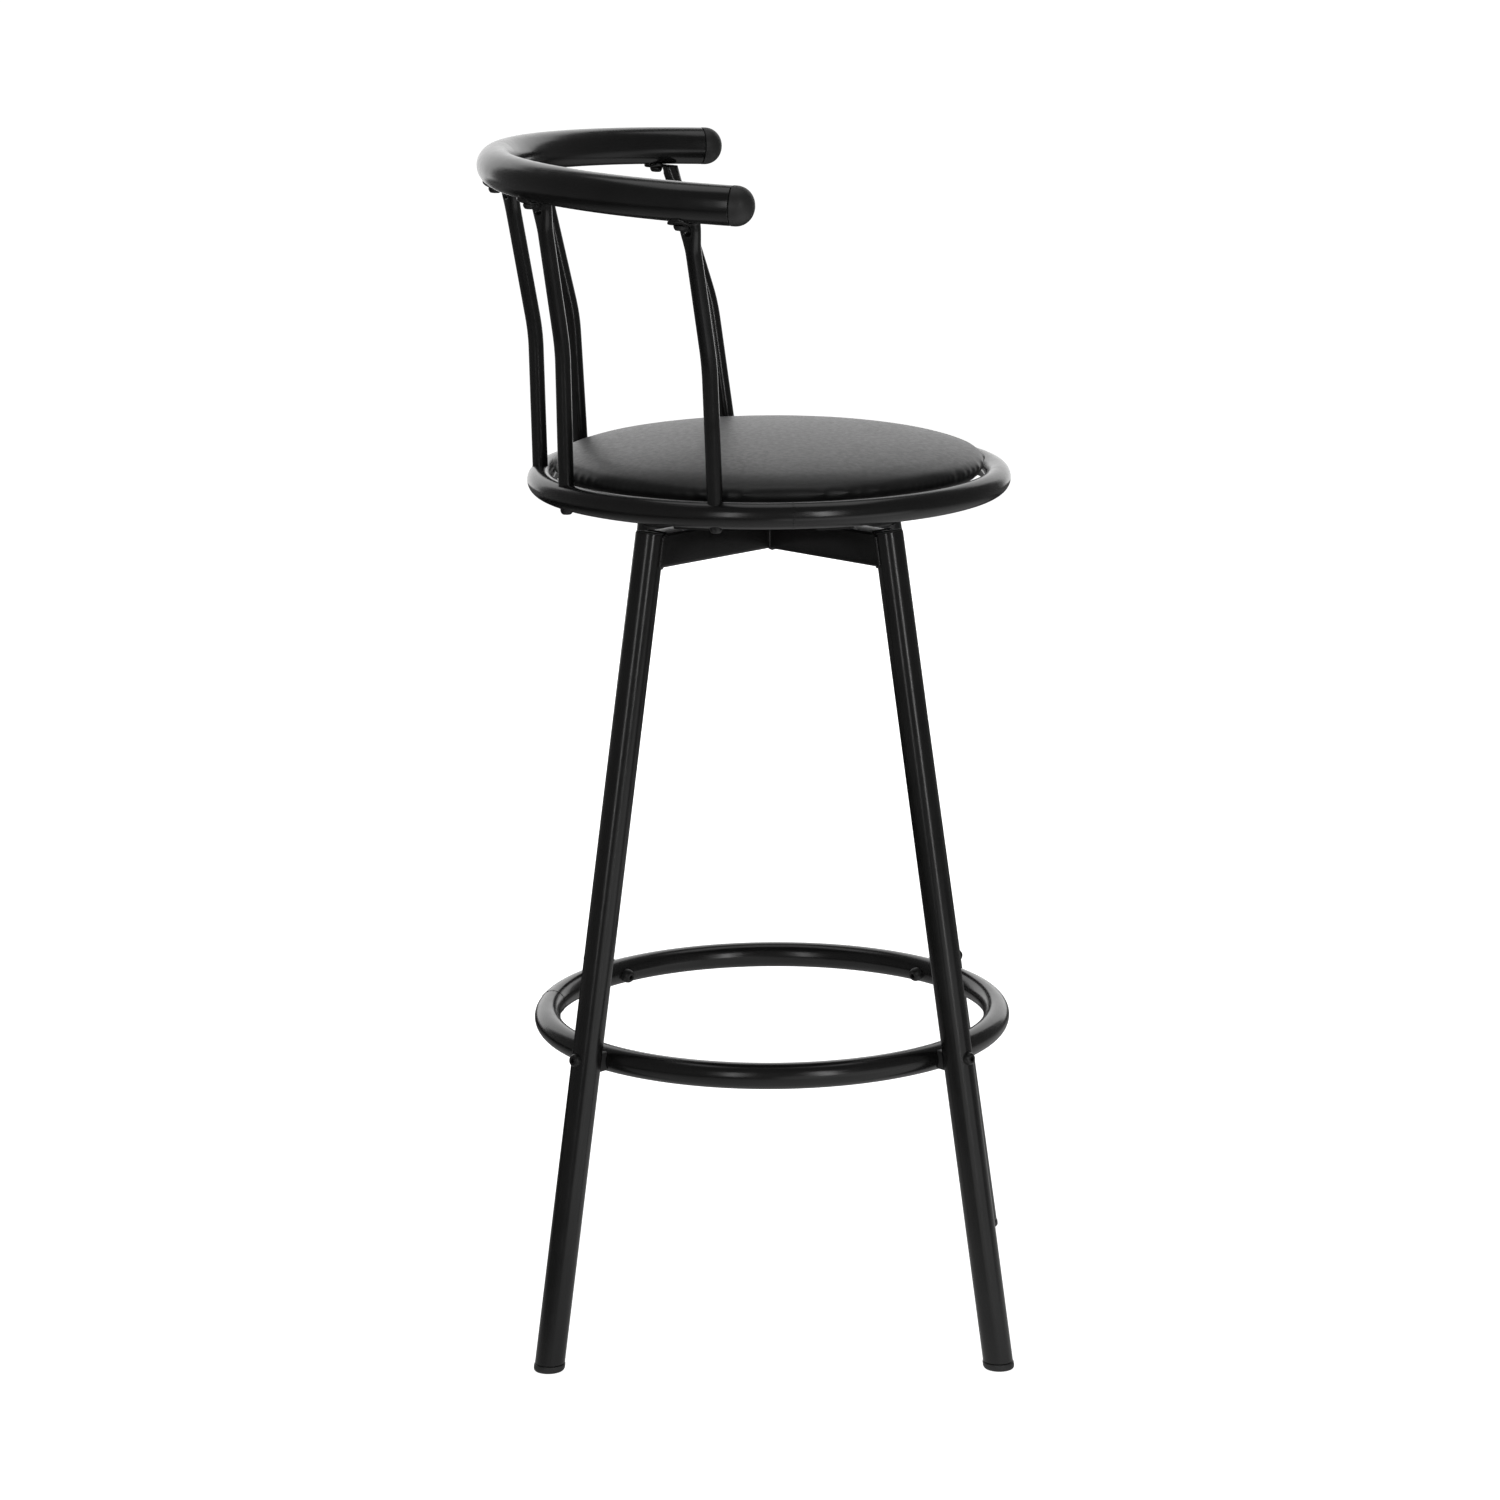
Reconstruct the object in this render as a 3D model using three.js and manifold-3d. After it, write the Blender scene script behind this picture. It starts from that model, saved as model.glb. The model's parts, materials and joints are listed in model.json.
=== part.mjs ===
// A bar stool: a round padded seat that swivels on four splayed legs, with a curved back rail on
// five bent spindles and a ring footrest bolted inside the legs.
// Millimetres, +Z up, +X to the front. The floor is Z = 0.

import * as THREE from "three";
import { mergeVertices } from "three/addons/utils/BufferGeometryUtils.js";
import Module from "manifold-3d";

const wasm = await Module();
wasm.setup();

// ---- Driving dimensions ----

const FIT = 0.3; // clearance left between pieces that touch
const WALL = 1.5; // wall of every steel tube

// How the seat and the base stand, turned about the swivel axis from the back rail's own heading.
const BASE_TURN = -3.65; // degrees
const SEAT_TURN = -5.15; // degrees

const LEG_RADIUS = 12.5;
const LEG_TOP_Z = 694;
const LEG_TOP_SPREAD = 98; // from the swivel axis to a leg's middle, along X and along Y
const LEG_FOOT_SPREAD = 188.3;
const FRONT_LEFT_SPLAY = 5.5; // this leg's foot stands a little further out, along the diagonal
const FOOT_CAP_RADIUS = 13;
const FOOT_CAP_HEIGHT = 6;
const FOOT_CAP_ROUNDING = 1.6;
const FOOT_PLUG_TOP_Z = 24;

const BRACE_WIDTH = 25;
const BRACE_HEIGHT = 28;
const BRACE_WALL = 2;

const RING_TUBE_RADIUS = 11;
const RING_SIDES = 10; // facets round a ring's tube
const RING_BORE_SIDES = 8;
const RING_STEPS = 48; // facets along a ring
const FOOTREST_RADIUS = 193.6;
const FOOTREST_Z = 256.3;
const SEAT_RING_RADIUS = 192.6;
const SEAT_RING_Z = 724.8;

const PLATE_HALF_SIZE = 70;
const PLATE_THICKNESS = 3;
const PLATE_BOLT_SPREAD = 58;
const RACE_HEIGHT = 9.3;
const RACE_RADIUS = 42;
const BALL_RADIUS = 4;
const BALL_COUNT = 12;
const STRAP_WIDTH = 30;
const STRAP_THICKNESS = 3;
const STRAP_REACH = 186; // radius at which the straps end, under the seat ring
const BOARD_RADIUS = 165;
const BOARD_THICKNESS = 12;
const CUSHION_RADIUS = 183;
const CUSHION_EDGE_Z = 739.6; // height of the cushion's widest part
const CUSHION_CROWN = 24;

const RAIL_TUBE_RADIUS = 16;
const RAIL_RADIUS = 245.5;
const RAIL_CENTRE_X = 20; // the rail's arc is centred a little in front of the swivel axis
const RAIL_CENTRE_Z = 976.34;
const RAIL_TILT = 3.03; // degrees, higher at the back
const RAIL_HALF_ANGLE = 75.55; // degrees, from the middle of the back to the end of the tube
const RAIL_CAP_LENGTH = 16.5;
const RAIL_CAP_PLUG_RADIUS = 13.4;
const RAIL_CAP_PLUG_LENGTH = 10;

const SPINDLE_RADIUS = 6.5;
const SPINDLE_BORE_RADIUS = 5.2;
const SPINDLE_BEND_HEIGHT = 129; // along the straight lower part, from the foot to the bend
const SPINDLE_BEND_REACH = 14;
const SPINDLE_OFFSET = 33; // from the line of the lower part to the screw, in an untilted spindle
const SPINDLE_FOOT_DROP = 5.8; // how far the foot goes into the seat ring, below the tube's middle
const SPINDLE_PLUG_LENGTH = 16;
const TAB_HALF_WIDTH = 9.2;
const TAB_THICKNESS = 2.6;
const TAB_SCREW_REACH = 13; // from the spindle's bent top to the screw
const TAB_END_REACH = 10; // from the screw to the end of the tab
const FLATTEN_LENGTH = 34;

// Each spindle's name with its place round the seat ring and round the rail, from the middle back.
const SPINDLES = [
  { name: "far_left", onSeat: -78.6, onRail: -65.4 },
  { name: "left", onSeat: -31.5, onRail: -27 },
  { name: "middle", onSeat: 0, onRail: 0 },
  { name: "right", onSeat: 31.5, onRail: 27 },
  { name: "far_right", onSeat: 78.6, onRail: 65.4 },
];

const BOLT_RADIUS = 3;
const SCREW_RADIUS = 2.3;

// ---- Heights and places that follow from them ----

const LOWER_PLATE_Z = LEG_TOP_Z + FIT;
const RACE_Z = LOWER_PLATE_Z + PLATE_THICKNESS + FIT;
const UPPER_PLATE_Z = RACE_Z + RACE_HEIGHT + FIT;
const STRAP_Z = UPPER_PLATE_Z + PLATE_THICKNESS + FIT;
const BOARD_Z = STRAP_Z + STRAP_THICKNESS + FIT;
const CUSHION_Z = BOARD_Z + BOARD_THICKNESS + FIT;
const SPINDLE_FOOT_Z = SEAT_RING_Z - SPINDLE_FOOT_DROP;

const UP = new THREE.Vector3(0, 0, 1);
const railFrame = new THREE.Matrix4()
  .makeRotationY(radians(RAIL_TILT))
  .setPosition(RAIL_CENTRE_X, 0, RAIL_CENTRE_Z);

const CORNERS = [
  { name: "front_left", x: 1, y: 1, splay: FRONT_LEFT_SPLAY },
  { name: "rear_left", x: -1, y: 1, splay: 0 },
  { name: "rear_right", x: -1, y: -1, splay: 0 },
  { name: "front_right", x: 1, y: -1, splay: 0 },
];

// ---- Materials ----

const paint = { color: 0x141416, roughness: 0.38, metalness: 0.3 };
const plastic = { color: 0x18181a, roughness: 0.6, metalness: 0 };
const vinyl = { color: 0x1c1c1e, roughness: 0.5, metalness: 0 };
const plywood = { color: 0xb08a5a, roughness: 0.8, metalness: 0 };
const zinc = { color: 0xa8aaac, roughness: 0.4, metalness: 0.9 };
const blackScrew = { color: 0x101012, roughness: 0.45, metalness: 0.6 };

// ---- Helpers ----

function radians(degrees) {
  return THREE.MathUtils.degToRad(degrees);
}

function polar(radius, degrees, z) {
  const angle = radians(degrees);
  return new THREE.Vector3(radius * Math.cos(angle), radius * Math.sin(angle), z);
}

// The closed solid of a three.js geometry.
function solid(geometry) {
  const bare = geometry.clone();
  bare.deleteAttribute("normal");
  bare.deleteAttribute("uv");
  const merged = mergeVertices(bare, 1e-4);
  return new wasm.Manifold(
    new wasm.Mesh({
      numProp: 3,
      vertProperties: merged.attributes.position.array,
      triVerts: new Uint32Array(merged.index.array),
    }),
  );
}

function geometryOf(manifold) {
  const mesh = manifold.getMesh();
  const geometry = new THREE.BufferGeometry();
  geometry.setAttribute("position", new THREE.BufferAttribute(mesh.vertProperties, 3));
  geometry.setIndex(new THREE.BufferAttribute(mesh.triVerts, 1));
  return geometry;
}

function cut(body, ...tools) {
  return geometryOf(tools.reduce((rest, tool) => rest.subtract(solid(tool)), solid(body)));
}

function named(name, geometry, finish) {
  const faceted = geometry.index ? geometry.toNonIndexed() : geometry;
  faceted.computeVertexNormals();
  const mesh = new THREE.Mesh(faceted, new THREE.MeshStandardMaterial(finish));
  mesh.name = name;
  return mesh;
}

// A turned shape about Z, from [radius, height] pairs listed from the bottom to the top.
function turned(profile, sides) {
  const points = profile.map(([radius, height]) => new THREE.Vector2(radius, height));
  return new THREE.LatheGeometry(points, sides).rotateX(Math.PI / 2);
}

function rod(radius, bottom, top, sides = 8) {
  return turned([[0, bottom], [radius, bottom], [radius, top], [0, top]], sides);
}

// Lays a shape made along +Z so that it runs outwards along a radius, at a height.
function radial(geometry, degrees, z) {
  return geometry
    .rotateY(Math.PI / 2)
    .rotateZ(radians(degrees))
    .translate(0, 0, z);
}

// A round ring lying level, as a closed torus.
function torus(radius, tubeRadius, sides = RING_SIDES) {
  return new THREE.TorusGeometry(radius, tubeRadius, sides, RING_STEPS);
}

// One cross-section: an ellipse on two axes, squared off where `flat` is 1.
function section(centre, axisA, halfA, axisB, halfB, flat, sides) {
  const power = 1 - 0.5 * flat;
  const bulge = (value) => Math.sign(value) * Math.abs(value) ** power;
  return Array.from({ length: sides }, (_, index) => {
    const angle = (2 * Math.PI * index) / sides;
    return centre
      .clone()
      .addScaledVector(axisA, halfA * bulge(Math.cos(angle)))
      .addScaledVector(axisB, halfB * bulge(Math.sin(angle)));
  });
}

// A closed skin over a row of cross-sections that have the same number of points.
function loft(loops) {
  const sides = loops[0].length;
  const faces = [];
  for (let row = 0; row + 1 < loops.length; row += 1) {
    for (let side = 0; side < sides; side += 1) {
      const here = row * sides + side;
      const next = row * sides + ((side + 1) % sides);
      faces.push(here, next, next + sides, here, next + sides, here + sides);
    }
  }
  const last = (loops.length - 1) * sides;
  for (let side = 1; side + 1 < sides; side += 1) {
    faces.push(0, side + 1, side, last, last + side, last + side + 1);
  }
  const geometry = new THREE.BufferGeometry().setFromPoints(loops.flat());
  geometry.setIndex(faces);
  return geometry;
}

// A bolt or screw along Z with the underside of its head at 0 and the shank below.
function bolt(headRadius, headHeight, shankRadius, shankLength) {
  return turned(
    [
      [0, -shankLength],
      [shankRadius, -shankLength],
      [shankRadius, 0],
      [headRadius, 0],
      [headRadius, 0.35 * headHeight],
      [0.7 * headRadius, headHeight],
      [0, headHeight],
    ],
    8,
  );
}

// A head hollowed to sit on the round piece it clamps, joined to its shank.
function seatedBolt(head, clearance, shank) {
  return geometryOf(solid(head).subtract(solid(clearance)).add(solid(shank)));
}

// ---- Base: legs, feet, brace ----

// How far a leg's middle is from the swivel axis, along its diagonal.
function legReach(corner, z) {
  const foot = Math.SQRT2 * LEG_FOOT_SPREAD + corner.splay;
  return THREE.MathUtils.lerp(foot, Math.SQRT2 * LEG_TOP_SPREAD, z / LEG_TOP_Z);
}

// The level cross-section of a leaning round bar.
function legSection(corner, radius, z, sides = 16) {
  const outward = new THREE.Vector3(corner.x, corner.y, 0).normalize();
  const sideways = new THREE.Vector3().crossVectors(UP, outward);
  const stretch = Math.hypot(1, (legReach(corner, 0) - legReach(corner, LEG_TOP_Z)) / LEG_TOP_Z);
  const centre = outward.clone().multiplyScalar(legReach(corner, z)).setZ(z);
  return section(centre, outward, radius * stretch, sideways, radius, 0, sides);
}

// A leaning round bar between two heights, cut off level at both ends.
function legShape(corner, radius, bottomZ, topZ) {
  return loft([legSection(corner, radius, bottomZ), legSection(corner, radius, topZ)]);
}

function cornerAngle(corner) {
  return THREE.MathUtils.radToDeg(Math.atan2(corner.y, corner.x));
}

function leg(corner) {
  const outer = legShape(corner, LEG_RADIUS, FOOT_CAP_HEIGHT + FIT, LEG_TOP_Z);
  const bore = legShape(corner, LEG_RADIUS - WALL, 0, LEG_TOP_Z + 1);
  const boltHole = radial(rod(BOLT_RADIUS + FIT, 190, 250), cornerAngle(corner), FOOTREST_Z);
  return named(`leg_${corner.name}`, cut(outer, bore, boltHole), paint);
}

function footCap(corner) {
  const plugRadius = LEG_RADIUS - WALL - FIT;
  const skin = loft([
    legSection(corner, FOOT_CAP_RADIUS - FOOT_CAP_ROUNDING, 0),
    legSection(corner, FOOT_CAP_RADIUS, FOOT_CAP_ROUNDING),
    legSection(corner, FOOT_CAP_RADIUS, FOOT_CAP_HEIGHT),
    legSection(corner, plugRadius, FOOT_CAP_HEIGHT),
    legSection(corner, plugRadius, FOOT_PLUG_TOP_Z),
  ]);
  return named(`foot_cap_${corner.name}`, skin, plastic);
}

// A hollow bar along +X from one end to the other, below the level of the leg tops.
function braceBar(from, to) {
  const middle = (from + to) / 2;
  const z = LEG_TOP_Z - BRACE_HEIGHT / 2;
  const outer = new THREE.BoxGeometry(to - from, BRACE_WIDTH, BRACE_HEIGHT);
  const hollow = new THREE.BoxGeometry(
    to - from + 2,
    BRACE_WIDTH - 2 * BRACE_WALL,
    BRACE_HEIGHT - 2 * BRACE_WALL,
  );
  return [outer, hollow].map((box) => box.translate(middle, 0, z));
}

// Cuts a brace bar to fit round the legs it meets, and drills it for the swivel's bolts.
function fittedBrace(name, degrees, from, to, corners) {
  const [outer, hollow] = braceBar(from, to).map((box) => box.rotateZ(radians(degrees)));
  const cuts = corners.flatMap((corner) => [
    legShape(corner, LEG_RADIUS + FIT, 600, LEG_TOP_Z + 10),
    rod(BOLT_RADIUS + FIT, LEG_TOP_Z - BRACE_WALL - 1, LEG_TOP_Z + 1).translate(
      corner.x * PLATE_BOLT_SPREAD,
      corner.y * PLATE_BOLT_SPREAD,
      0,
    ),
  ]);
  return named(name, cut(outer, hollow, ...cuts), paint);
}

function crossBrace() {
  const [frontLeft, rearLeft, rearRight, frontRight] = CORNERS;
  const reach = 132;
  const start = BRACE_WIDTH / 2 + FIT;
  return [
    fittedBrace("brace_bar_long", 45, -reach, reach, [frontLeft, rearRight]),
    fittedBrace("brace_half_left", 135, start, reach, [rearLeft]),
    fittedBrace("brace_half_right", -45, start, reach, [frontRight]),
  ];
}

// ---- Footrest ----

function footrestRing() {
  const outer = torus(FOOTREST_RADIUS, RING_TUBE_RADIUS);
  const hollow = torus(FOOTREST_RADIUS, RING_TUBE_RADIUS - WALL, RING_BORE_SIDES);
  const holes = CORNERS.map((corner) => {
    return radial(rod(BOLT_RADIUS + FIT, 170, 215), cornerAngle(corner), 0);
  });
  return named("footrest_ring", cut(outer, hollow, ...holes).translate(0, 0, FOOTREST_Z), paint);
}

function footrestClearance() {
  return torus(FOOTREST_RADIUS, RING_TUBE_RADIUS + FIT).translate(0, 0, FOOTREST_Z);
}

// A saddle that fills the gap between the ring and the leg.
function footrestSpacer(corner) {
  const from = FOOTREST_RADIUS + RING_TUBE_RADIUS - 2.5;
  const to = legReach(corner, FOOTREST_Z) - LEG_RADIUS + 2;
  const block = new THREE.BoxGeometry(16, 16, to - from).translate(0, 0, (from + to) / 2);
  const legClearance = legShape(corner, LEG_RADIUS + FIT, 200, 300);
  const hole = radial(rod(BOLT_RADIUS + FIT, 190, 220), cornerAngle(corner), FOOTREST_Z);
  const saddle = radial(block, cornerAngle(corner), FOOTREST_Z);
  const shape = cut(saddle, legClearance, footrestClearance(), hole);
  return named(`footrest_spacer_${corner.name}`, shape, plastic);
}

function footrestBolt(corner) {
  const face = legReach(corner, FOOTREST_Z) + LEG_RADIUS;
  const head = turned(
    [[0, face - 1.1], [5.5, face - 1.1], [5.5, face + 1.4], [3.8, face + 4], [0, face + 4]],
    10,
  );
  const shank = rod(BOLT_RADIUS, 180.4, face + 1);
  const placed = [head, shank].map((shape) => radial(shape, cornerAngle(corner), FOOTREST_Z));
  const legClearance = legShape(corner, LEG_RADIUS + FIT, 200, 300);
  const shape = seatedBolt(placed[0], legClearance, placed[1]);
  return named(`footrest_bolt_${corner.name}`, shape, blackScrew);
}

function footrestNut(corner) {
  const dome = turned([[0, 176.4], [4.2, 176.4], [6, 178.6], [6, 184.6], [0, 184.6]], 12);
  const bore = rod(BOLT_RADIUS + FIT, 180, 190);
  const placed = [dome, bore].map((shape) => radial(shape, cornerAngle(corner), FOOTREST_Z));
  const shape = cut(placed[0], placed[1], footrestClearance());
  return named(`footrest_nut_${corner.name}`, shape, blackScrew);
}

// ---- Swivel ----

function swivelPlate(name, z) {
  const plate = new THREE.BoxGeometry(2 * PLATE_HALF_SIZE, 2 * PLATE_HALF_SIZE, PLATE_THICKNESS);
  plate.translate(0, 0, PLATE_THICKNESS / 2);
  const holes = CORNERS.map(({ x, y }) => {
    const hole = rod(BOLT_RADIUS + FIT, -1, PLATE_THICKNESS + 1);
    return hole.translate(x * PLATE_BOLT_SPREAD, y * PLATE_BOLT_SPREAD, 0);
  });
  const middle = rod(20, -1, PLATE_THICKNESS + 1, 20);
  return named(name, cut(plate, middle, ...holes).translate(0, 0, z), zinc);
}

// A flat cage with the balls joined to it.
function swivelBallRace() {
  const half = RACE_HEIGHT / 2;
  const inner = RACE_RADIUS - 6;
  const outer = RACE_RADIUS + 6;
  const profile = [[inner, -1], [outer, -1], [outer, 1], [inner, 1], [inner, -1]];
  let race = solid(turned(profile, 24));
  for (let index = 0; index < BALL_COUNT; index += 1) {
    const place = polar(RACE_RADIUS, (360 * (index + 0.5)) / BALL_COUNT, 0);
    const ball = new THREE.SphereGeometry(BALL_RADIUS, 6, 4).rotateX(Math.PI / 2);
    race = race.add(solid(ball.translate(place.x, place.y, 0)));
  }
  return named("swivel_ball_race", geometryOf(race).translate(0, 0, RACE_Z + half), zinc);
}

function swivelBaseBolt(corner) {
  const shape = bolt(5.5, 3, BOLT_RADIUS, 11).translate(
    corner.x * PLATE_BOLT_SPREAD,
    corner.y * PLATE_BOLT_SPREAD,
    LOWER_PLATE_Z + PLATE_THICKNESS + FIT,
  );
  return named(`swivel_base_bolt_${corner.name}`, shape, zinc);
}

// ---- Seat ----

function seatStrap(name, side) {
  const halfLength = Math.sqrt(STRAP_REACH ** 2 - (PLATE_BOLT_SPREAD + STRAP_WIDTH / 2) ** 2);
  const strap = new THREE.BoxGeometry(STRAP_WIDTH, 2 * halfLength, STRAP_THICKNESS);
  strap.translate(side * PLATE_BOLT_SPREAD, 0, STRAP_Z + STRAP_THICKNESS / 2);
  const holes = [-1, 1].map((end) => {
    const hole = rod(BOLT_RADIUS + FIT, STRAP_Z - 1, BOARD_Z);
    return hole.translate(side * PLATE_BOLT_SPREAD, end * PLATE_BOLT_SPREAD, 0);
  });
  return named(name, cut(strap, ...holes), paint);
}

// The ring has a slanting socket for each spindle's foot and a screw hole below it.
function seatRing() {
  const [outer, hollow] = [
    torus(SEAT_RING_RADIUS, RING_TUBE_RADIUS),
    torus(SEAT_RING_RADIUS, RING_TUBE_RADIUS - WALL, RING_BORE_SIDES),
  ].map((ring) => ring.rotateZ(radians(SEAT_TURN)).translate(0, 0, SEAT_RING_Z));
  const holes = SPINDLES.flatMap((spec) => {
    const { base, lower } = spindleLine(spec);
    const turn = new THREE.Quaternion().setFromUnitVectors(UP, lower);
    const socket = rod(SPINDLE_RADIUS + 2 * FIT, 4, 40, 12).applyQuaternion(turn);
    const screwHole = rod(SCREW_RADIUS + FIT, -20, 4);
    return [socket, screwHole].map((hole) => hole.translate(base.x, base.y, base.z));
  });
  return named("seat_ring", cut(outer, hollow, ...holes), paint);
}

function seatBoard() {
  const board = rod(BOARD_RADIUS, 0, BOARD_THICKNESS, 36);
  const holes = CORNERS.map(({ x, y }) => {
    const hole = rod(BOLT_RADIUS + FIT, -1, 9);
    return hole.translate(x * PLATE_BOLT_SPREAD, y * PLATE_BOLT_SPREAD, 0);
  });
  return named("seat_board", cut(board, ...holes).translate(0, 0, BOARD_Z), plywood);
}

// A flat-bottomed pad with an elliptical crown.
function seatCushion() {
  const crown = [0, 12, 26, 42, 58, 75].map((degrees) => {
    const angle = radians(degrees);
    return [CUSHION_RADIUS * Math.cos(angle), CUSHION_EDGE_Z + CUSHION_CROWN * Math.sin(angle)];
  });
  const profile = [
    [0, CUSHION_Z],
    [CUSHION_RADIUS - 12, CUSHION_Z],
    [CUSHION_RADIUS - 4, CUSHION_EDGE_Z - 8.6],
    ...crown,
    [0, CUSHION_EDGE_Z + CUSHION_CROWN],
  ];
  return named("seat_cushion", turned(profile, 36), vinyl);
}

function seatBolt(corner) {
  const shape = bolt(5.5, 3, BOLT_RADIUS, 14)
    .rotateX(Math.PI)
    .translate(
      corner.x * PLATE_BOLT_SPREAD,
      corner.y * PLATE_BOLT_SPREAD,
      UPPER_PLATE_Z - FIT,
    );
  return named(`seat_bolt_${corner.name}`, shape, zinc);
}

// The screw that comes up through the seat ring into a spindle's foot.
function spindleBolt({ name, onSeat }) {
  const place = polar(SEAT_RING_RADIUS, 180 + onSeat, 0);
  const head = turned([[0, -14.6], [3.8, -14.6], [5.3, -12.8], [5.3, -10], [0, -10]], 10);
  const shank = rod(SCREW_RADIUS, -12.8, 10 - SPINDLE_FOOT_DROP);
  const placed = [head, shank].map((shape) => shape.translate(place.x, place.y, SEAT_RING_Z));
  const ring = torus(SEAT_RING_RADIUS, RING_TUBE_RADIUS + FIT).translate(0, 0, SEAT_RING_Z);
  return named(`spindle_bolt_${name}`, seatedBolt(placed[0], ring, placed[1]), blackScrew);
}

// ---- Back: spindles, screws, rail, caps ----

// A point under the rail's centreline, square to the rail's plane.
function underRail(onRail, drop) {
  return polar(RAIL_RADIUS, 180 + onRail, -drop).applyMatrix4(railFrame);
}

// Where a spindle stands and which way it goes: its foot, its screw under the rail, the level
// direction across it, the direction of its lower part and the direction of its tab.
function spindleLine({ onSeat, onRail }) {
  const base = polar(SEAT_RING_RADIUS, 180 + onSeat + SEAT_TURN, SPINDLE_FOOT_Z);
  const screw = underRail(onRail, RAIL_TUBE_RADIUS + FIT + TAB_THICKNESS / 2);
  const rise = screw.z - base.z;
  const out = screw.clone().sub(base).setZ(0);
  const tilt = Math.atan2(out.length(), rise) - Math.atan2(SPINDLE_OFFSET, rise);
  const across = new THREE.Vector3().crossVectors(UP, out).normalize();
  const normal = UP.clone().transformDirection(railFrame);
  const alongTab = new THREE.Vector3().crossVectors(across, normal).normalize();
  const lower = UP.clone().applyAxisAngle(across, tilt);
  return { base, screw, across, lower, alongTab };
}

// A tube that stands on the seat ring, bends back above the seat, and is pressed flat and folded
// outwards at the top to make the tab that is screwed to the underside of the rail. All five are
// alike: each one tilts as a whole until its tab meets the rail.
function spindle(spec) {
  const { base, screw, across, lower, alongTab } = spindleLine(spec);
  const bend = base.clone().addScaledVector(lower, SPINDLE_BEND_HEIGHT);
  const knee = screw.clone().addScaledVector(alongTab, -TAB_SCREW_REACH);
  const lean = knee.clone().sub(bend).normalize();

  const ring = (centre, direction, halfWidth, halfThickness, flat) => {
    const through = new THREE.Vector3().crossVectors(across, direction).normalize();
    return section(centre, through, halfThickness, across, halfWidth, flat, 12);
  };
  const round = (centre, direction, radius) => ring(centre, direction, radius, radius, 0);
  const past = (point, direction, distance) => point.clone().addScaledVector(direction, distance);
  const bendRings = (radius) => [
    round(past(bend, lower, -SPINDLE_BEND_REACH), lower, radius),
    round(past(bend, lower.clone().sub(lean).normalize(), 0.6), lower.clone().add(lean), radius),
    round(past(bend, lean, SPINDLE_BEND_REACH), lean, radius),
  ];
  const flattenStart = past(knee, lean, -FLATTEN_LENGTH);
  const halfTab = TAB_THICKNESS / 2;
  const outer = loft([
    round(base, UP, SPINDLE_RADIUS),
    ...bendRings(SPINDLE_RADIUS),
    round(flattenStart, lean, SPINDLE_RADIUS),
    ring(past(knee, lean, -0.55 * FLATTEN_LENGTH), lean, 7.6, 4.4, 0.3),
    ring(past(knee, lean, -0.25 * FLATTEN_LENGTH), lean, TAB_HALF_WIDTH, halfTab + 0.4, 0.8),
    ring(knee, lean.clone().add(alongTab), TAB_HALF_WIDTH, halfTab * 1.2, 1),
    ring(past(screw, alongTab, TAB_END_REACH - 4), alongTab, TAB_HALF_WIDTH, halfTab, 1),
    ring(past(screw, alongTab, TAB_END_REACH), alongTab, TAB_HALF_WIDTH - 3, halfTab, 1),
  ]);
  const plugTop = past(base, lower, SPINDLE_PLUG_LENGTH);
  const bore = loft([
    round(plugTop, lower, SPINDLE_BORE_RADIUS),
    ...bendRings(SPINDLE_BORE_RADIUS),
    round(flattenStart, lean, SPINDLE_BORE_RADIUS),
  ]);
  const footHole = rod(SCREW_RADIUS + 3 * FIT, SPINDLE_FOOT_Z - 1, plugTop.z + 1);
  footHole.translate(base.x, base.y, 0);
  const tabHole = rod(SCREW_RADIUS + FIT, -RAIL_TUBE_RADIUS - 10, -RAIL_TUBE_RADIUS + 2);
  const onArc = polar(RAIL_RADIUS, 180 + spec.onRail, 0);
  tabHole.translate(onArc.x, onArc.y, 0).applyMatrix4(railFrame);
  return named(`spindle_${spec.name}`, cut(outer, bore, footHole, tabHole), paint);
}

function railScrew({ name, onRail }) {
  const place = polar(RAIL_RADIUS, 180 + onRail, 0);
  const drop = RAIL_TUBE_RADIUS + TAB_THICKNESS + 2 * FIT;
  const shape = bolt(5.5, 3.6, SCREW_RADIUS, 9)
    .rotateX(Math.PI)
    .translate(place.x, place.y, -drop);
  return named(`rail_screw_${name}`, shape, blackScrew);
}

// The rail's centreline: an arc in its own plane, open at the front.
class RailArc extends THREE.Curve {
  getPoint(t) {
    const angle = 180 + RAIL_HALF_ANGLE * (2 * t - 1);
    return polar(RAIL_RADIUS, angle, 0);
  }
}

function backRail() {
  const circle = new THREE.Shape().absarc(0, 0, RAIL_TUBE_RADIUS, 0, 2 * Math.PI);
  circle.holes.push(
    new THREE.Path().absarc(0, 0, RAIL_TUBE_RADIUS - WALL, 0, 2 * Math.PI, true),
  );
  const tube = new THREE.ExtrudeGeometry(circle, {
    steps: 28,
    curveSegments: 6,
    extrudePath: new RailArc(),
    bevelEnabled: false,
  });
  const holes = SPINDLES.map(({ onRail }) => {
    const place = polar(RAIL_RADIUS, 180 + onRail, 0);
    return rod(SCREW_RADIUS + FIT, -RAIL_TUBE_RADIUS - 5, -5).translate(place.x, place.y, 0);
  });
  return named("back_rail", cut(tube, ...holes), paint);
}

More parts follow.
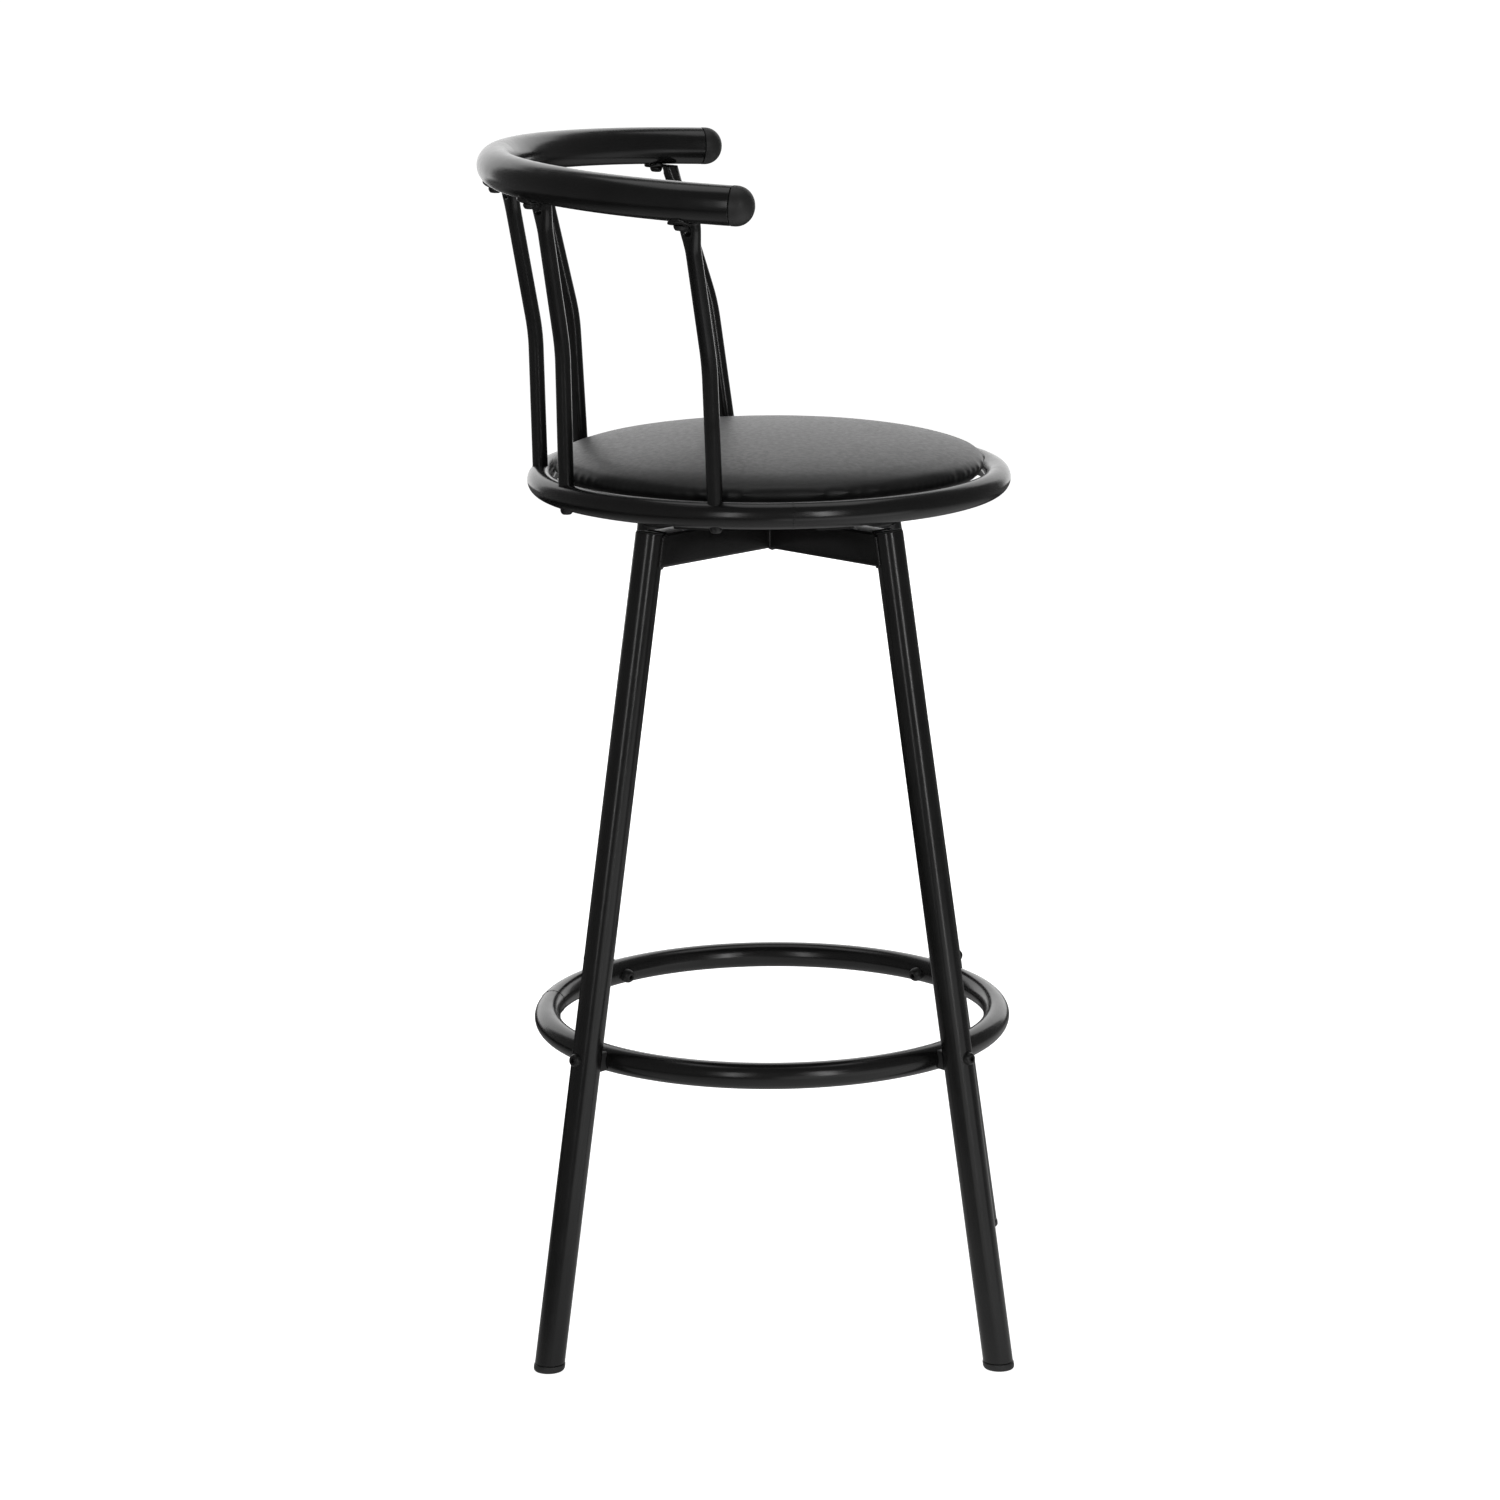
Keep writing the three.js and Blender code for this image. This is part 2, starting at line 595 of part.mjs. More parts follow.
// A plug with a domed end, pushed into the open end of the rail.
function railCap(name, side) {
  const dome = RAIL_CAP_LENGTH - FIT;
  const profile = [
    [0, -RAIL_CAP_PLUG_LENGTH],
    [RAIL_CAP_PLUG_RADIUS, -RAIL_CAP_PLUG_LENGTH],
    [RAIL_CAP_PLUG_RADIUS, FIT],
    [RAIL_TUBE_RADIUS, FIT],
    [RAIL_TUBE_RADIUS, FIT + 0.3 * dome],
    [0.9 * RAIL_TUBE_RADIUS, FIT + 0.62 * dome],
    [0.62 * RAIL_TUBE_RADIUS, FIT + 0.88 * dome],
    [0, RAIL_CAP_LENGTH],
  ];
  const cap = turned(profile, 14).rotateX((side * Math.PI) / 2);
  const place = polar(RAIL_RADIUS, 180 - side * RAIL_HALF_ANGLE, 0);
  cap.rotateZ(radians(180 - side * RAIL_HALF_ANGLE)).translate(place.x, place.y, 0);
  return named(name, cap, plastic);
}

// ---- Assembly ----

const base = new THREE.Group();
base.rotation.z = radians(BASE_TURN);
base.add(...crossBrace(), footrestRing());
base.add(swivelPlate("swivel_lower_plate", LOWER_PLATE_Z), swivelBallRace());
for (const corner of CORNERS) {
  base.add(leg(corner), footCap(corner));
  base.add(footrestSpacer(corner), footrestBolt(corner), footrestNut(corner));
  base.add(swivelBaseBolt(corner));
}

const seat = new THREE.Group();
seat.rotation.z = radians(SEAT_TURN);
seat.add(swivelPlate("swivel_upper_plate", UPPER_PLATE_Z));
seat.add(seatStrap("seat_strap_front", 1), seatStrap("seat_strap_rear", -1));
seat.add(seatBoard(), seatCushion());
seat.add(...CORNERS.map(seatBolt), ...SPINDLES.map(spindleBolt));

const rail = new THREE.Group();
rail.applyMatrix4(railFrame);
rail.add(backRail(), railCap("rail_cap_left", 1), railCap("rail_cap_right", -1));
rail.add(...SPINDLES.map(railScrew));

const stool = new THREE.Group();
stool.add(base, seat, seatRing(), rail, ...SPINDLES.map(spindle));

// The origin is the middle of the stool's footprint, on the floor.
const footprint = new THREE.Box3().setFromObject(stool, true);
stool.position.x = -(footprint.min.x + footprint.max.x) / 2;

export default stool;
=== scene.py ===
"""The looks of a swivelling bar stool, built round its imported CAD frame.

Metres, +Z up, +X to the front of the stool, the floor at Z = 0. The seat, the back and all they
carry turn with the body "seat"; the legs, the footrest and the brace belong to "base".
"""

import json
import math

import bmesh
import bpy
from mathutils import Matrix, Vector, noise


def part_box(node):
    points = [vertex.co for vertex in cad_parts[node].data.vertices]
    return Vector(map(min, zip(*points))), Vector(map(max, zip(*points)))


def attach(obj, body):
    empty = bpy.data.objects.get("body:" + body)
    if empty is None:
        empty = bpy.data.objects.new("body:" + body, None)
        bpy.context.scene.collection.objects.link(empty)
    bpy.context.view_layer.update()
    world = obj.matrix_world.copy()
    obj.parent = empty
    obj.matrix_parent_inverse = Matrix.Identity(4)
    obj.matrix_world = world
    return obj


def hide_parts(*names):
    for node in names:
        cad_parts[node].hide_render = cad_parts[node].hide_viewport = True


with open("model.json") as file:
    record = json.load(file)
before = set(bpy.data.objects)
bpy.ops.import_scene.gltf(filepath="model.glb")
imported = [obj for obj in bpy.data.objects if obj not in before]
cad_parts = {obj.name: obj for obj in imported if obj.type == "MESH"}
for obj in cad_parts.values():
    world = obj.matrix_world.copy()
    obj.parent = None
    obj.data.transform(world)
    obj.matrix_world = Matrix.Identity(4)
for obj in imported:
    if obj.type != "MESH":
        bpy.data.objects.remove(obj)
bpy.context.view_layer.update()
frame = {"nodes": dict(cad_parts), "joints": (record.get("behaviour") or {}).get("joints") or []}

# ---- Driving dimensions, the same as the CAD source's ----

MM = 0.001
UP = Vector((0, 0, 1))
AXIS = Vector((frame["joints"][0]["pos_m"][0], 0, 0))  # where the swivel axis meets the floor
FIT = 0.3 * MM  # clearance left between pieces that touch
WALL = 1.5 * MM  # wall of every steel tube

BASE_TURN = -3.65  # degrees
SEAT_TURN = -5.15  # degrees

LEG_RADIUS = 12.5 * MM
LEG_TOP_Z = 694 * MM
FOOT_CAP_RADIUS = 13 * MM
FOOT_CAP_HEIGHT = 6 * MM
FOOT_CAP_ROUNDING = 1.6 * MM
FOOT_PLUG_TOP_Z = 24 * MM

BRACE_WIDTH = 25 * MM
BRACE_HEIGHT = 28 * MM
BRACE_WALL = 2 * MM

RING_TUBE_RADIUS = 11 * MM
FOOTREST_RADIUS = 193.6 * MM
FOOTREST_Z = 256.3 * MM
SEAT_RING_RADIUS = 192.6 * MM
SEAT_RING_Z = 724.8 * MM

PLATE_HALF_SIZE = 70 * MM
PLATE_BOLT_SPREAD = 58 * MM
RACE_RADIUS = 42 * MM
BALL_RADIUS = 4 * MM
BALL_COUNT = 12
STRAP_WIDTH = 30 * MM
STRAP_REACH = 186 * MM
CUSHION_EDGE_Z = 739.6 * MM  # height of the cushion's widest part
BOLT_RADIUS = 3 * MM

RAIL_TUBE_RADIUS = 16 * MM
RAIL_RADIUS = 245.5 * MM
RAIL_CENTRE = Vector((20 * MM, 0, 976.34 * MM))
RAIL_TILT = 3.03  # degrees
RAIL_HALF_ANGLE = 75.55  # degrees
RAIL_CAP_LENGTH = 16.5 * MM

SPINDLE_RADIUS = 6.5 * MM
SPINDLE_BEND_HEIGHT = 129 * MM
SPINDLE_BEND_REACH = 14 * MM
SPINDLE_OFFSET = 33 * MM
SPINDLE_FOOT_DROP = 5.8 * MM
TAB_HALF_WIDTH = 9.2 * MM
TAB_THICKNESS = 2.6 * MM
TAB_SCREW_REACH = 13 * MM
TAB_END_REACH = 10 * MM

# Each spindle's place round the seat ring and round the rail, in degrees from the middle back.
SPINDLES = {
    "far_left": (-78.6, -65.4),
    "left": (-31.5, -27),
    "middle": (0, 0),
    "right": (31.5, 27),
    "far_right": (78.6, 65.4),
}
CORNERS = {
    "front_left": (1, 1),
    "rear_left": (-1, 1),
    "rear_right": (-1, -1),
    "front_right": (1, -1),
}

# ---- Dimensions that only the shown pieces have ----

LEG_SIDES = 48
BOLT_RISE = 8  # degrees by which a footrest bolt rises on its way out
SOCKET = 2 * MM  # half the width of every screw's socket
BRACE_BEAD_RADIUS = 1.35 * MM
BUTT_BEAD_RADIUS = 0.8 * MM
SEAM_RIDGE = 0.28 * MM  # how proud the seam of a bent tube stands
SEAM_HALF_WIDTH = 4  # degrees of the tube's section
PLATE_CORNER = 9 * MM

HEM_REACH = 26 * MM  # how far the seat's cover is turned in under the board
HEM_PLEATS = 30
HEM_PLEAT_DEPTH = 0.35 * MM
CUSHION_SHRINK = 4 * MM  # how much smaller the pad starts, before it is stuffed
CUSHION_SWELL = 2 * MM  # the furthest that stuffing it moves a point

NECK_HALF_DEPTH = 5.8 * MM  # half the depth of a spindle just under its tab
PINCH_LENGTH = 24 * MM  # over which a spindle widens to its tab
PINCH_DEPTH = 4.5 * MM  # of the pocket that pinching leaves under the tab
PINCH_POCKET = 0.5  # the share of the neck's width that its pocket takes
POCKET_LOW = 9 * MM  # its lower end, below the top of the neck
POCKET_HIGH = 0.5 * MM  # its upper end, below the top of the neck
PINCH_SIDES = 56
FOLD_FILLET = 1.5 * MM
TAB_CORNER = 7 * MM

RAIL_CAP_SHOULDER = 1.8 * MM  # how far back a cap's shoulder starts from the CAD tube's end
RAIL_CAP_GAP = 0.6 * MM  # between the shoulder and the shown tube
RAIL_CAP_BULGE = 2.05  # the power of its dome's outline: 2 would be an ellipse


def rotation(degrees, axis):
    return Matrix.Rotation(math.radians(degrees), 4, axis)


BASE = Matrix.Translation(AXIS) @ rotation(BASE_TURN, "Z")
SEAT = Matrix.Translation(AXIS) @ rotation(SEAT_TURN, "Z")
RAIL = Matrix.Translation(AXIS + RAIL_CENTRE) @ rotation(RAIL_TILT, "Y")


# ---- Shapes: a shape is a list of points and a list of faces ----


def polar(radius, degrees, z=0.0):
    angle = math.radians(degrees)
    return Vector((radius * math.cos(angle), radius * math.sin(angle), z))


def loft(rings, closed=False):
    """A skin over rings of points, capped at both ends unless the rings close on themselves."""
    count = len(rings[0])
    points = [point for ring in rings for point in ring]
    faces = []
    for row in range(len(rings) if closed else len(rings) - 1):
        here, above = row * count, (row + 1) % len(rings) * count
        for side in range(count):
            beside = (side + 1) % count
            faces.append((here + side, here + beside, above + beside, above + side))
    if not closed:
        faces.append(tuple(range(count)))
        faces.append(tuple(range(len(points) - count, len(points))))
    return points, faces


def joined(*shapes):
    points, faces = [], []
    for some_points, some_faces in shapes:
        offset = len(points)
        points += some_points
        faces += [tuple(index + offset for index in face) for face in some_faces]
    return points, faces


def moved(shape, matrix):
    points, faces = shape
    return [matrix @ Vector(point) for point in points], faces


def rounded(outline, reach, steps=4):
    """An open outline with each of its inner corners rounded off over the given reach."""
    result = [outline[0]]
    for before, corner, after in zip(outline, outline[1:], outline[2:]):
        before, corner, after = Vector(before), Vector(corner), Vector(after)
        back = min(reach, 0.45 * (before - corner).length)
        ahead = min(reach, 0.45 * (after - corner).length)
        start = corner + (before - corner).normalized() * back
        end = corner + (after - corner).normalized() * ahead
        for step in range(steps + 1):
            t = step / steps
            result.append(start * (1 - t) ** 2 + corner * 2 * t * (1 - t) + end * t * t)
    result.append(outline[-1])
    return result


def turned(profile, sides=64):
    """A shape of revolution about Z from (radius, height) pairs that start and end on the axis."""
    return loft([[polar(r, 360 * side / sides, z) for side in range(sides)] for r, z in profile])


def section(centre, axis_a, half_a, axis_b, half_b, flat=0.0, sides=24):
    """An ellipse on two axes, squared off as flat goes from 0 to 1."""
    power = 1 - 0.5 * flat
    ring = []
    for side in range(sides):
        angle = 2 * math.pi * side / sides
        a = math.copysign(abs(math.cos(angle)) ** power, math.cos(angle))
        b = math.copysign(abs(math.sin(angle)) ** power, math.sin(angle))
        ring.append(centre + axis_a * (half_a * a) + axis_b * (half_b * b))
    return ring


def swept(path, radii, sides):
    """The sections of a round tube along a closed path, with a radius for each of its points."""
    rings = []
    for index, (centre, radius) in enumerate(zip(path, radii)):
        along = (path[(index + 1) % len(path)] - path[index - 1]).normalized()
        reference = UP if abs(along.z) < 0.9 else Vector((1, 0, 0))
        across = along.cross(reference).normalized()
        rings.append(section(centre, across, radius, across.cross(along), radius, sides=sides))
    return rings


def box_outline(half_width, half_height, corner, steps=5):
    """A rectangle with round corners, as (across, up) pairs."""
    outline = []
    for quarter, (sign_a, sign_b) in enumerate([(1, 1), (-1, 1), (-1, -1), (1, -1)]):
        for step in range(steps + 1):
            angle = math.radians(90 * (quarter + step / steps))
            outline.append(
                (
                    sign_a * (half_width - corner) + corner * math.cos(angle),
                    sign_b * (half_height - corner) + corner * math.sin(angle),
                )
            )
    return outline


def resampled(path, spacing):
    """Points at even spacing round a closed path."""
    result = []
    for here, after in zip(path, path[1:] + path[:1]):
        pieces = max(1, round((after - here).length / spacing))
        result += [here.lerp(after, step / pieces) for step in range(pieces)]
    return result


# ---- Pieces ----


def shown(name, shape, sharp):
    """A mesh object in the scene. Edges sharper than the given number of degrees stay sharp."""
    mesh = bpy.data.meshes.new(name)
    points, faces = shape
    work = bmesh.new()
    corners = [work.verts.new(point) for point in points]
    for face in faces:
        work.faces.new([corners[index] for index in face])
    bmesh.ops.remove_doubles(work, verts=work.verts, dist=1e-6)
    bmesh.ops.recalc_face_normals(work, faces=work.faces)
    work.to_mesh(mesh)
    work.free()
    obj = bpy.data.objects.new(name, mesh)
    bpy.context.scene.collection.objects.link(obj)
    shade(obj, sharp)
    return obj


def shade(obj, sharp):
    obj.data.shade_smooth()
    obj.data.set_sharp_from_angle(angle=math.radians(sharp))


def finish(obj, slot, body, stands_for=()):
    """Gives an object its material and the body it rides on, and hides the CAD nodes it stands for.
    """
    obj.data.materials.clear()
    obj.data.materials.append(finishes[slot])
    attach(obj, body)
    if stands_for:
        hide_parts(*stands_for)


def piece(name, shape, slot, body, stands_for=(), sharp=38):
    finish(shown(name, shape, sharp), slot, body, stands_for)


def weld(name, path, radius, body):
    """A closed bead of weld with the ripples that its runs leave."""
    fine = resampled(path, 0.7 * MM)
    radii = []
    for index, point in enumerate(fine):
        ripple = 0.16 * math.sin(2 * math.pi * index / 4)
        radii.append(radius * (1 + ripple + 0.22 * noise.noise(point * 260)))
    bead = loft(swept(fine, radii, 10), closed=True)
    piece(name, bead, "black_paint", body, sharp=60)


# ---- Materials ----


class Nodes:
    """Short names for building one material's node tree."""

    def __init__(self, name):
        self.material = bpy.data.materials.new(name)
        self.material.use_nodes = True
        self.tree = self.material.node_tree
        self.shader = self.tree.nodes["Principled BSDF"]
        self.place = self.tree.nodes.new("ShaderNodeTexCoord").outputs["Object"]

    def node(self, kind, **values):
        made = self.tree.nodes.new(kind)
        for key, value in values.items():
            made.inputs[key.replace("_", " ")].default_value = value
        return made

    def link(self, source, target):
        self.tree.links.new(source, target)

    def noise(self, scale, detail=2.0, stretch=None):
        made = self.node("ShaderNodeTexNoise", Scale=scale, Detail=detail)
        self.link(self.stretched(stretch), made.inputs["Vector"])
        return made.outputs["Fac"]

    def cells(self, scale):
        made = self.node("ShaderNodeTexVoronoi", Scale=scale)
        self.link(self.place, made.inputs["Vector"])
        return made.outputs["Distance"]

    def stretched(self, stretch):
        if stretch is None:
            return self.place
        mapping = self.node("ShaderNodeMapping", Scale=stretch)
        self.link(self.place, mapping.inputs["Vector"])
        return mapping.outputs["Vector"]

    def ramp(self, source, low, high, start=0.0, end=1.0):
        """A colour or a grey that goes from low to high as the source goes from start to end."""
        made = self.tree.nodes.new("ShaderNodeValToRGB")
        made.color_ramp.elements[0].position = start
        made.color_ramp.elements[1].position = end
        for element, value in zip(made.color_ramp.elements, (low, high)):
            colour = value if isinstance(value, tuple) else (value, value, value)
            element.color = (*colour, 1)
        self.link(source, made.inputs["Fac"])
        return made.outputs["Color"]

    def bump(self, source, depth, under=None):
        made = self.node("ShaderNodeBump", Strength=1.0, Distance=depth)
        self.link(source, made.inputs["Height"])
        if under is not None:
            self.link(under, made.inputs["Normal"])
        return made.outputs["Normal"]

    def finish(self, colour, roughness, normal, **values):
        for key, value in values.items():
            self.shader.inputs[key.replace("_", " ")].default_value = value
        self.link(colour, self.shader.inputs["Base Color"])
        self.link(roughness, self.shader.inputs["Roughness"])
        self.link(normal, self.shader.inputs["Normal"])
        return self.material


def black_paint():
    """Semi-gloss powder coat: a faint orange peel and a little cloudiness."""
    n = Nodes("black_paint")
    colour = n.ramp(n.noise(28, 4), 0.004, 0.006, 0.35, 0.7)
    roughness = n.ramp(n.noise(90, 3), 0.19, 0.25, 0.3, 0.75)
    peel = n.bump(n.noise(260, 2), 0.0000015)
    return n.finish(colour, roughness, peel, IOR=1.5)


def black_plastic():
    """Moulded plastic with a fine spark-eroded texture."""
    n = Nodes("black_plastic")
    colour = n.ramp(n.noise(60, 4), 0.014, 0.020, 0.35, 0.7)
    roughness = n.ramp(n.noise(800, 2), 0.44, 0.56, 0.3, 0.7)
    grain = n.bump(n.noise(1500, 3), 0.00005)
    return n.finish(colour, roughness, grain, IOR=1.46)


def black_screws():
    """Blackened steel, a little brighter where tools rub it."""
    n = Nodes("black_screws")
    colour = n.ramp(n.noise(500, 4), 0.012, 0.035, 0.4, 0.75)
    roughness = n.ramp(n.noise(900, 3), 0.30, 0.48, 0.3, 0.7)
    return n.finish(colour, roughness, n.bump(n.noise(1800, 2), 0.00002), Metallic=0.55)


def zinc_steel():
    """Zinc-plated pressed steel with a spangled, faintly brushed surface."""
    n = Nodes("zinc_steel")
    colour = n.ramp(n.cells(160), (0.36, 0.37, 0.38), (0.52, 0.53, 0.55), 0.1, 0.8)
    roughness = n.ramp(n.noise(300, 4), 0.28, 0.46, 0.3, 0.7)
    return n.finish(colour, roughness, n.bump(n.noise(700, 2), 0.00002), Metallic=0.95)


def seat_vinyl():
    """Satin vinyl embossed with a fine leather grain."""
    n = Nodes("seat_vinyl")
    colour = n.ramp(n.noise(45, 5), 0.0085, 0.0125, 0.35, 0.7)
    roughness = n.ramp(n.noise(240, 3), 0.36, 0.45, 0.3, 0.7)
    pebbles = n.bump(n.cells(950), 0.00006)
    pores = n.bump(n.noise(2600, 3), 0.00002, pebbles)
    return n.finish(colour, roughness, pores, IOR=1.39, Sheen_Weight=0.04, Sheen_Roughness=0.4)


def plywood():
    """Poplar plywood: long grain on the faces, and plies round the edge."""
    n = Nodes("plywood")
    plies = n.node("ShaderNodeTexWave", Scale=105, Distortion=0.6, Detail=2.0)
    plies.bands_direction = "Z"
    n.link(n.place, plies.inputs["Vector"])
    grain = n.noise(60, 6, (0.12, 1, 1))
    face = n.ramp(grain, (0.36, 0.23, 0.12), (0.56, 0.40, 0.24), 0.35, 0.7)
    edge = n.ramp(plies.outputs["Fac"], (0.22, 0.13, 0.07), (0.50, 0.35, 0.21), 0.4, 0.6)
    upright = n.node("ShaderNodeSeparateXYZ")
    n.link(n.tree.nodes.new("ShaderNodeNewGeometry").outputs["Normal"], upright.inputs[0])
    steep = n.node("ShaderNodeMath")
    steep.operation = "ABSOLUTE"
    n.link(upright.outputs["Z"], steep.inputs[0])
    mix = n.tree.nodes.new("ShaderNodeMix")
    mix.data_type = "RGBA"
    n.link(steep.outputs[0], mix.inputs["Factor"])
    n.link(edge, mix.inputs["A"])
    n.link(face, mix.inputs["B"])
    roughness = n.ramp(grain, 0.62, 0.82)
    return n.finish(mix.outputs["Result"], roughness, n.bump(grain, 0.0002))


finishes = {
    "black_paint": black_paint(),
    "black_plastic": black_plastic(),
    "black_screws": black_screws(),
    "zinc_steel": zinc_steel(),
    "seat_vinyl": seat_vinyl(),
    "plywood": plywood(),
}


# ---- Fasteners, made along +Z with the underside of the head at 0 ----


def hexagon(half_width, z, sides=48):
    ring = []
    for side in range(sides):
        degrees = 360 * side / sides
        ring.append(polar(half_width / math.cos(math.radians(degrees % 60 - 30)), degrees, z))
    return ring


def circle(radius, z, sides=48):
    return [polar(radius, 360 * side / sides, z) for side in range(sides)]


def socket_head(radius, height, under):
    """A button head with a hexagon socket. Under is how far its skirt goes below 0."""
    dome = [
        (radius, -under),
        (radius, 0.35 * height),
        (0.72 * radius, height),
        (1.25 * SOCKET, height),
    ]
    rings = [circle(0.6 * radius, -under)]
    rings += [circle(r, z) for r, z in rounded(dome, 0.3 * radius)]
    rings.append(hexagon(SOCKET, height - 0.15 * MM))
    rings.append(hexagon(0.96 * SOCKET, 0.3 * height))
    rings.append(circle(0.3 * SOCKET, 0.22 * height))
    return loft(rings)


def plain_shank(length, past_head):
    """A bolt's shank, from its end to a little inside its head."""
    radius = BOLT_RADIUS
    return turned([(0, -length), (radius, -length), (radius, past_head), (0, past_head)], 24)


def hexagon_head(half_width, height):
    """A plain hexagon head with its top corners turned off, on a washer face."""
    return loft(
        [
            circle(0.9 * half_width, 0),
            circle(1.25 * half_width, 0),
            circle(1.25 * half_width, 0.15 * height),
            hexagon(half_width, 0.15 * height),
            hexagon(half_width, 0.82 * height),
            circle(0.96 * half_width, height),
            circle(0.35 * half_width, height - 0.2 * MM),
        ]
    )


def pointing(direction, place):
    """Turns a shape made along +Z to point along a direction, and puts it in its place."""
    return Matrix.Translation(place) @ direction.to_track_quat("Z", "Y").to_matrix().to_4x4()


# ---- Base ----


def node_ends(node):
    """The middles of a CAD node's lowest and highest loops of points."""
    points = [vertex.co for vertex in frame["nodes"][node].data.vertices]
    middles = []
    for level in (min(p.z for p in points), max(p.z for p in points)):
        loop = [p for p in points if abs(p.z - level) < 1e-5]
        middles.append(sum(loop, Vector()) / len(loop))
    return middles


class Leg:
    """A leg's line, read from its CAD node."""

    def __init__(self, corner):
        self.low, self.high = node_ends(f"leg_{corner}")
        self.along = (self.high - self.low).normalized()
        self.outward = -Vector((self.along.x, self.along.y, 0)).normalized()
        self.across = UP.cross(self.outward)

    def at(self, z):
        return self.low + self.along * ((z - self.low.z) / self.along.z)

    def level_ring(self, radius, z):
        """A ring round the leg, cut level."""
        half = radius / self.along.z
        return section(self.at(z), self.outward, half, self.across, radius, sides=LEG_SIDES)

    def square_ring(self, radius, past_top):
        """A ring square to the leg, past the middle of its top."""
        centre = self.high + self.along * past_top
        square = self.across.cross(self.along)
        return section(centre, square, radius, self.across, radius, sides=LEG_SIDES)


def leg_tube(corner, leg):
    """Cut square at the top and level at the floor cap, with the burr taken off both ends."""
    bore = LEG_RADIUS - WALL
    edge = 0.3 * MM
    floor_end = FOOT_CAP_HEIGHT + FIT
    rings = [
        leg.level_ring(bore, floor_end),
        leg.level_ring(LEG_RADIUS - edge, floor_end),
        leg.level_ring(LEG_RADIUS, floor_end + edge),
    ]
    steps = 12
    rings += [
        leg.level_ring(LEG_RADIUS, floor_end + 5 * MM + (LEG_TOP_Z - 40 * MM) * step / steps)
        for step in range(steps)
    ]
    rings += [
        leg.square_ring(LEG_RADIUS, -12 * MM),
        leg.square_ring(LEG_RADIUS, -edge),
        leg.square_ring(LEG_RADIUS - edge, 0),
        leg.square_ring(bore + edge, 0),
        leg.square_ring(bore, -edge),
        leg.square_ring(bore, -30 * MM),
        leg.level_ring(bore, 60 * MM),
    ]
    piece(f"leg_tube_{corner}", loft(rings, closed=True), "black_paint", "base", [f"leg_{corner}"])


def leg_plug(corner, leg):
    """The plastic plug in a leg's open top."""
    plug = LEG_RADIUS - WALL - 0.1 * MM
    rings = [
        leg.square_ring(0.6 * plug, -14 * MM),
        leg.square_ring(plug, -13 * MM),
        leg.square_ring(plug, 0.1 * MM),
        leg.square_ring(LEG_RADIUS - 0.5 * MM, 0.1 * MM),
        leg.square_ring(LEG_RADIUS - 0.5 * MM, 0.7 * MM),
        leg.square_ring(LEG_RADIUS - 1.3 * MM, 1.3 * MM),
        leg.square_ring(0.5 * plug, 1.7 * MM),
    ]
    piece(f"leg_plug_{corner}", loft(rings), "black_plastic", "base")


def foot_cap(corner, leg):
    """A thimble over the end of the tube, its foot rounded and a little hollow underneath."""
    profile = rounded(
        [
            (0.3 * FOOT_CAP_RADIUS, 0.8 * MM),
            (0.6 * FOOT_CAP_RADIUS, 0.8 * MM),
            (0.68 * FOOT_CAP_RADIUS, 0),
            (FOOT_CAP_RADIUS - 1.0 * MM, 0),
            (FOOT_CAP_RADIUS, FOOT_CAP_ROUNDING),
            (FOOT_CAP_RADIUS, FOOT_CAP_HEIGHT),
            (LEG_RADIUS - WALL, FOOT_CAP_HEIGHT),
            (LEG_RADIUS - WALL - FIT, FOOT_PLUG_TOP_Z),
            (0.5 * LEG_RADIUS, FOOT_PLUG_TOP_Z),
        ],
        0.9 * MM,
    )
    shape = loft([leg.level_ring(radius, z) for radius, z in profile])
    piece(f"foot_cap_skin_{corner}", shape, "black_plastic", "base", [f"foot_cap_{corner}"])


def brace_end(leg, turn, across, z):
    """How far out a brace bar's skin reaches at a point of its outline, coped to its leg."""
    centre = turn.inverted() @ leg.at(z)
    half = math.sqrt(max((LEG_RADIUS + FIT) ** 2 - across**2, 0)) / leg.along.z
    return centre.x - half


def brace_bar(name, degrees, start_leg, end_leg, node):
    """A box tube from leg to leg, or from the middle of the brace to a leg."""
    turn = BASE @ rotation(degrees, "Z")
    back = BASE @ rotation(degrees + 180, "Z")
    middle_z = LEG_TOP_Z - BRACE_HEIGHT / 2
    butt = BRACE_WIDTH / 2 + FIT
    loops = []
    for inset, corner in ((0, 2.6 * MM), (BRACE_WALL, 0.9 * MM)):
        outline = box_outline(BRACE_WIDTH / 2 - inset, BRACE_HEIGHT / 2 - inset, corner)
        near, far = [], []
        for across, up in outline:
            z = middle_z + up
            start = -brace_end(start_leg, back, -across, z) if start_leg else butt
            near.append(turn @ Vector((start, across, z)))
            far.append(turn @ Vector((brace_end(end_leg, turn, across, z), across, z)))
        loops.append((near, far))
    (near, far), (inner_near, inner_far) = loops
    between = [[a.lerp(b, t) for a, b in zip(near, far)] for t in (0.04, 0.35, 0.65, 0.96)]
    shape = loft([near, *between, far, inner_far, inner_near], closed=True)
    piece(name, shape, "black_paint", "base", [node])
    weld(f"{name}_leg_weld", far, BRACE_BEAD_RADIUS, "base")
    weld(f"{name}_start_weld", near, BRACE_BEAD_RADIUS, "base")


def base_legs():
    legs = {corner: Leg(corner) for corner in CORNERS}
    for corner, leg in legs.items():
        leg_tube(corner, leg)
        leg_plug(corner, leg)
        foot_cap(corner, leg)
    brace_bar("brace_long", 45, legs["rear_right"], legs["front_left"], "brace_bar_long")
    brace_bar("brace_left", 135, None, legs["rear_left"], "brace_half_left")
    brace_bar("brace_right", -45, None, legs["front_right"], "brace_half_right")
    return legs


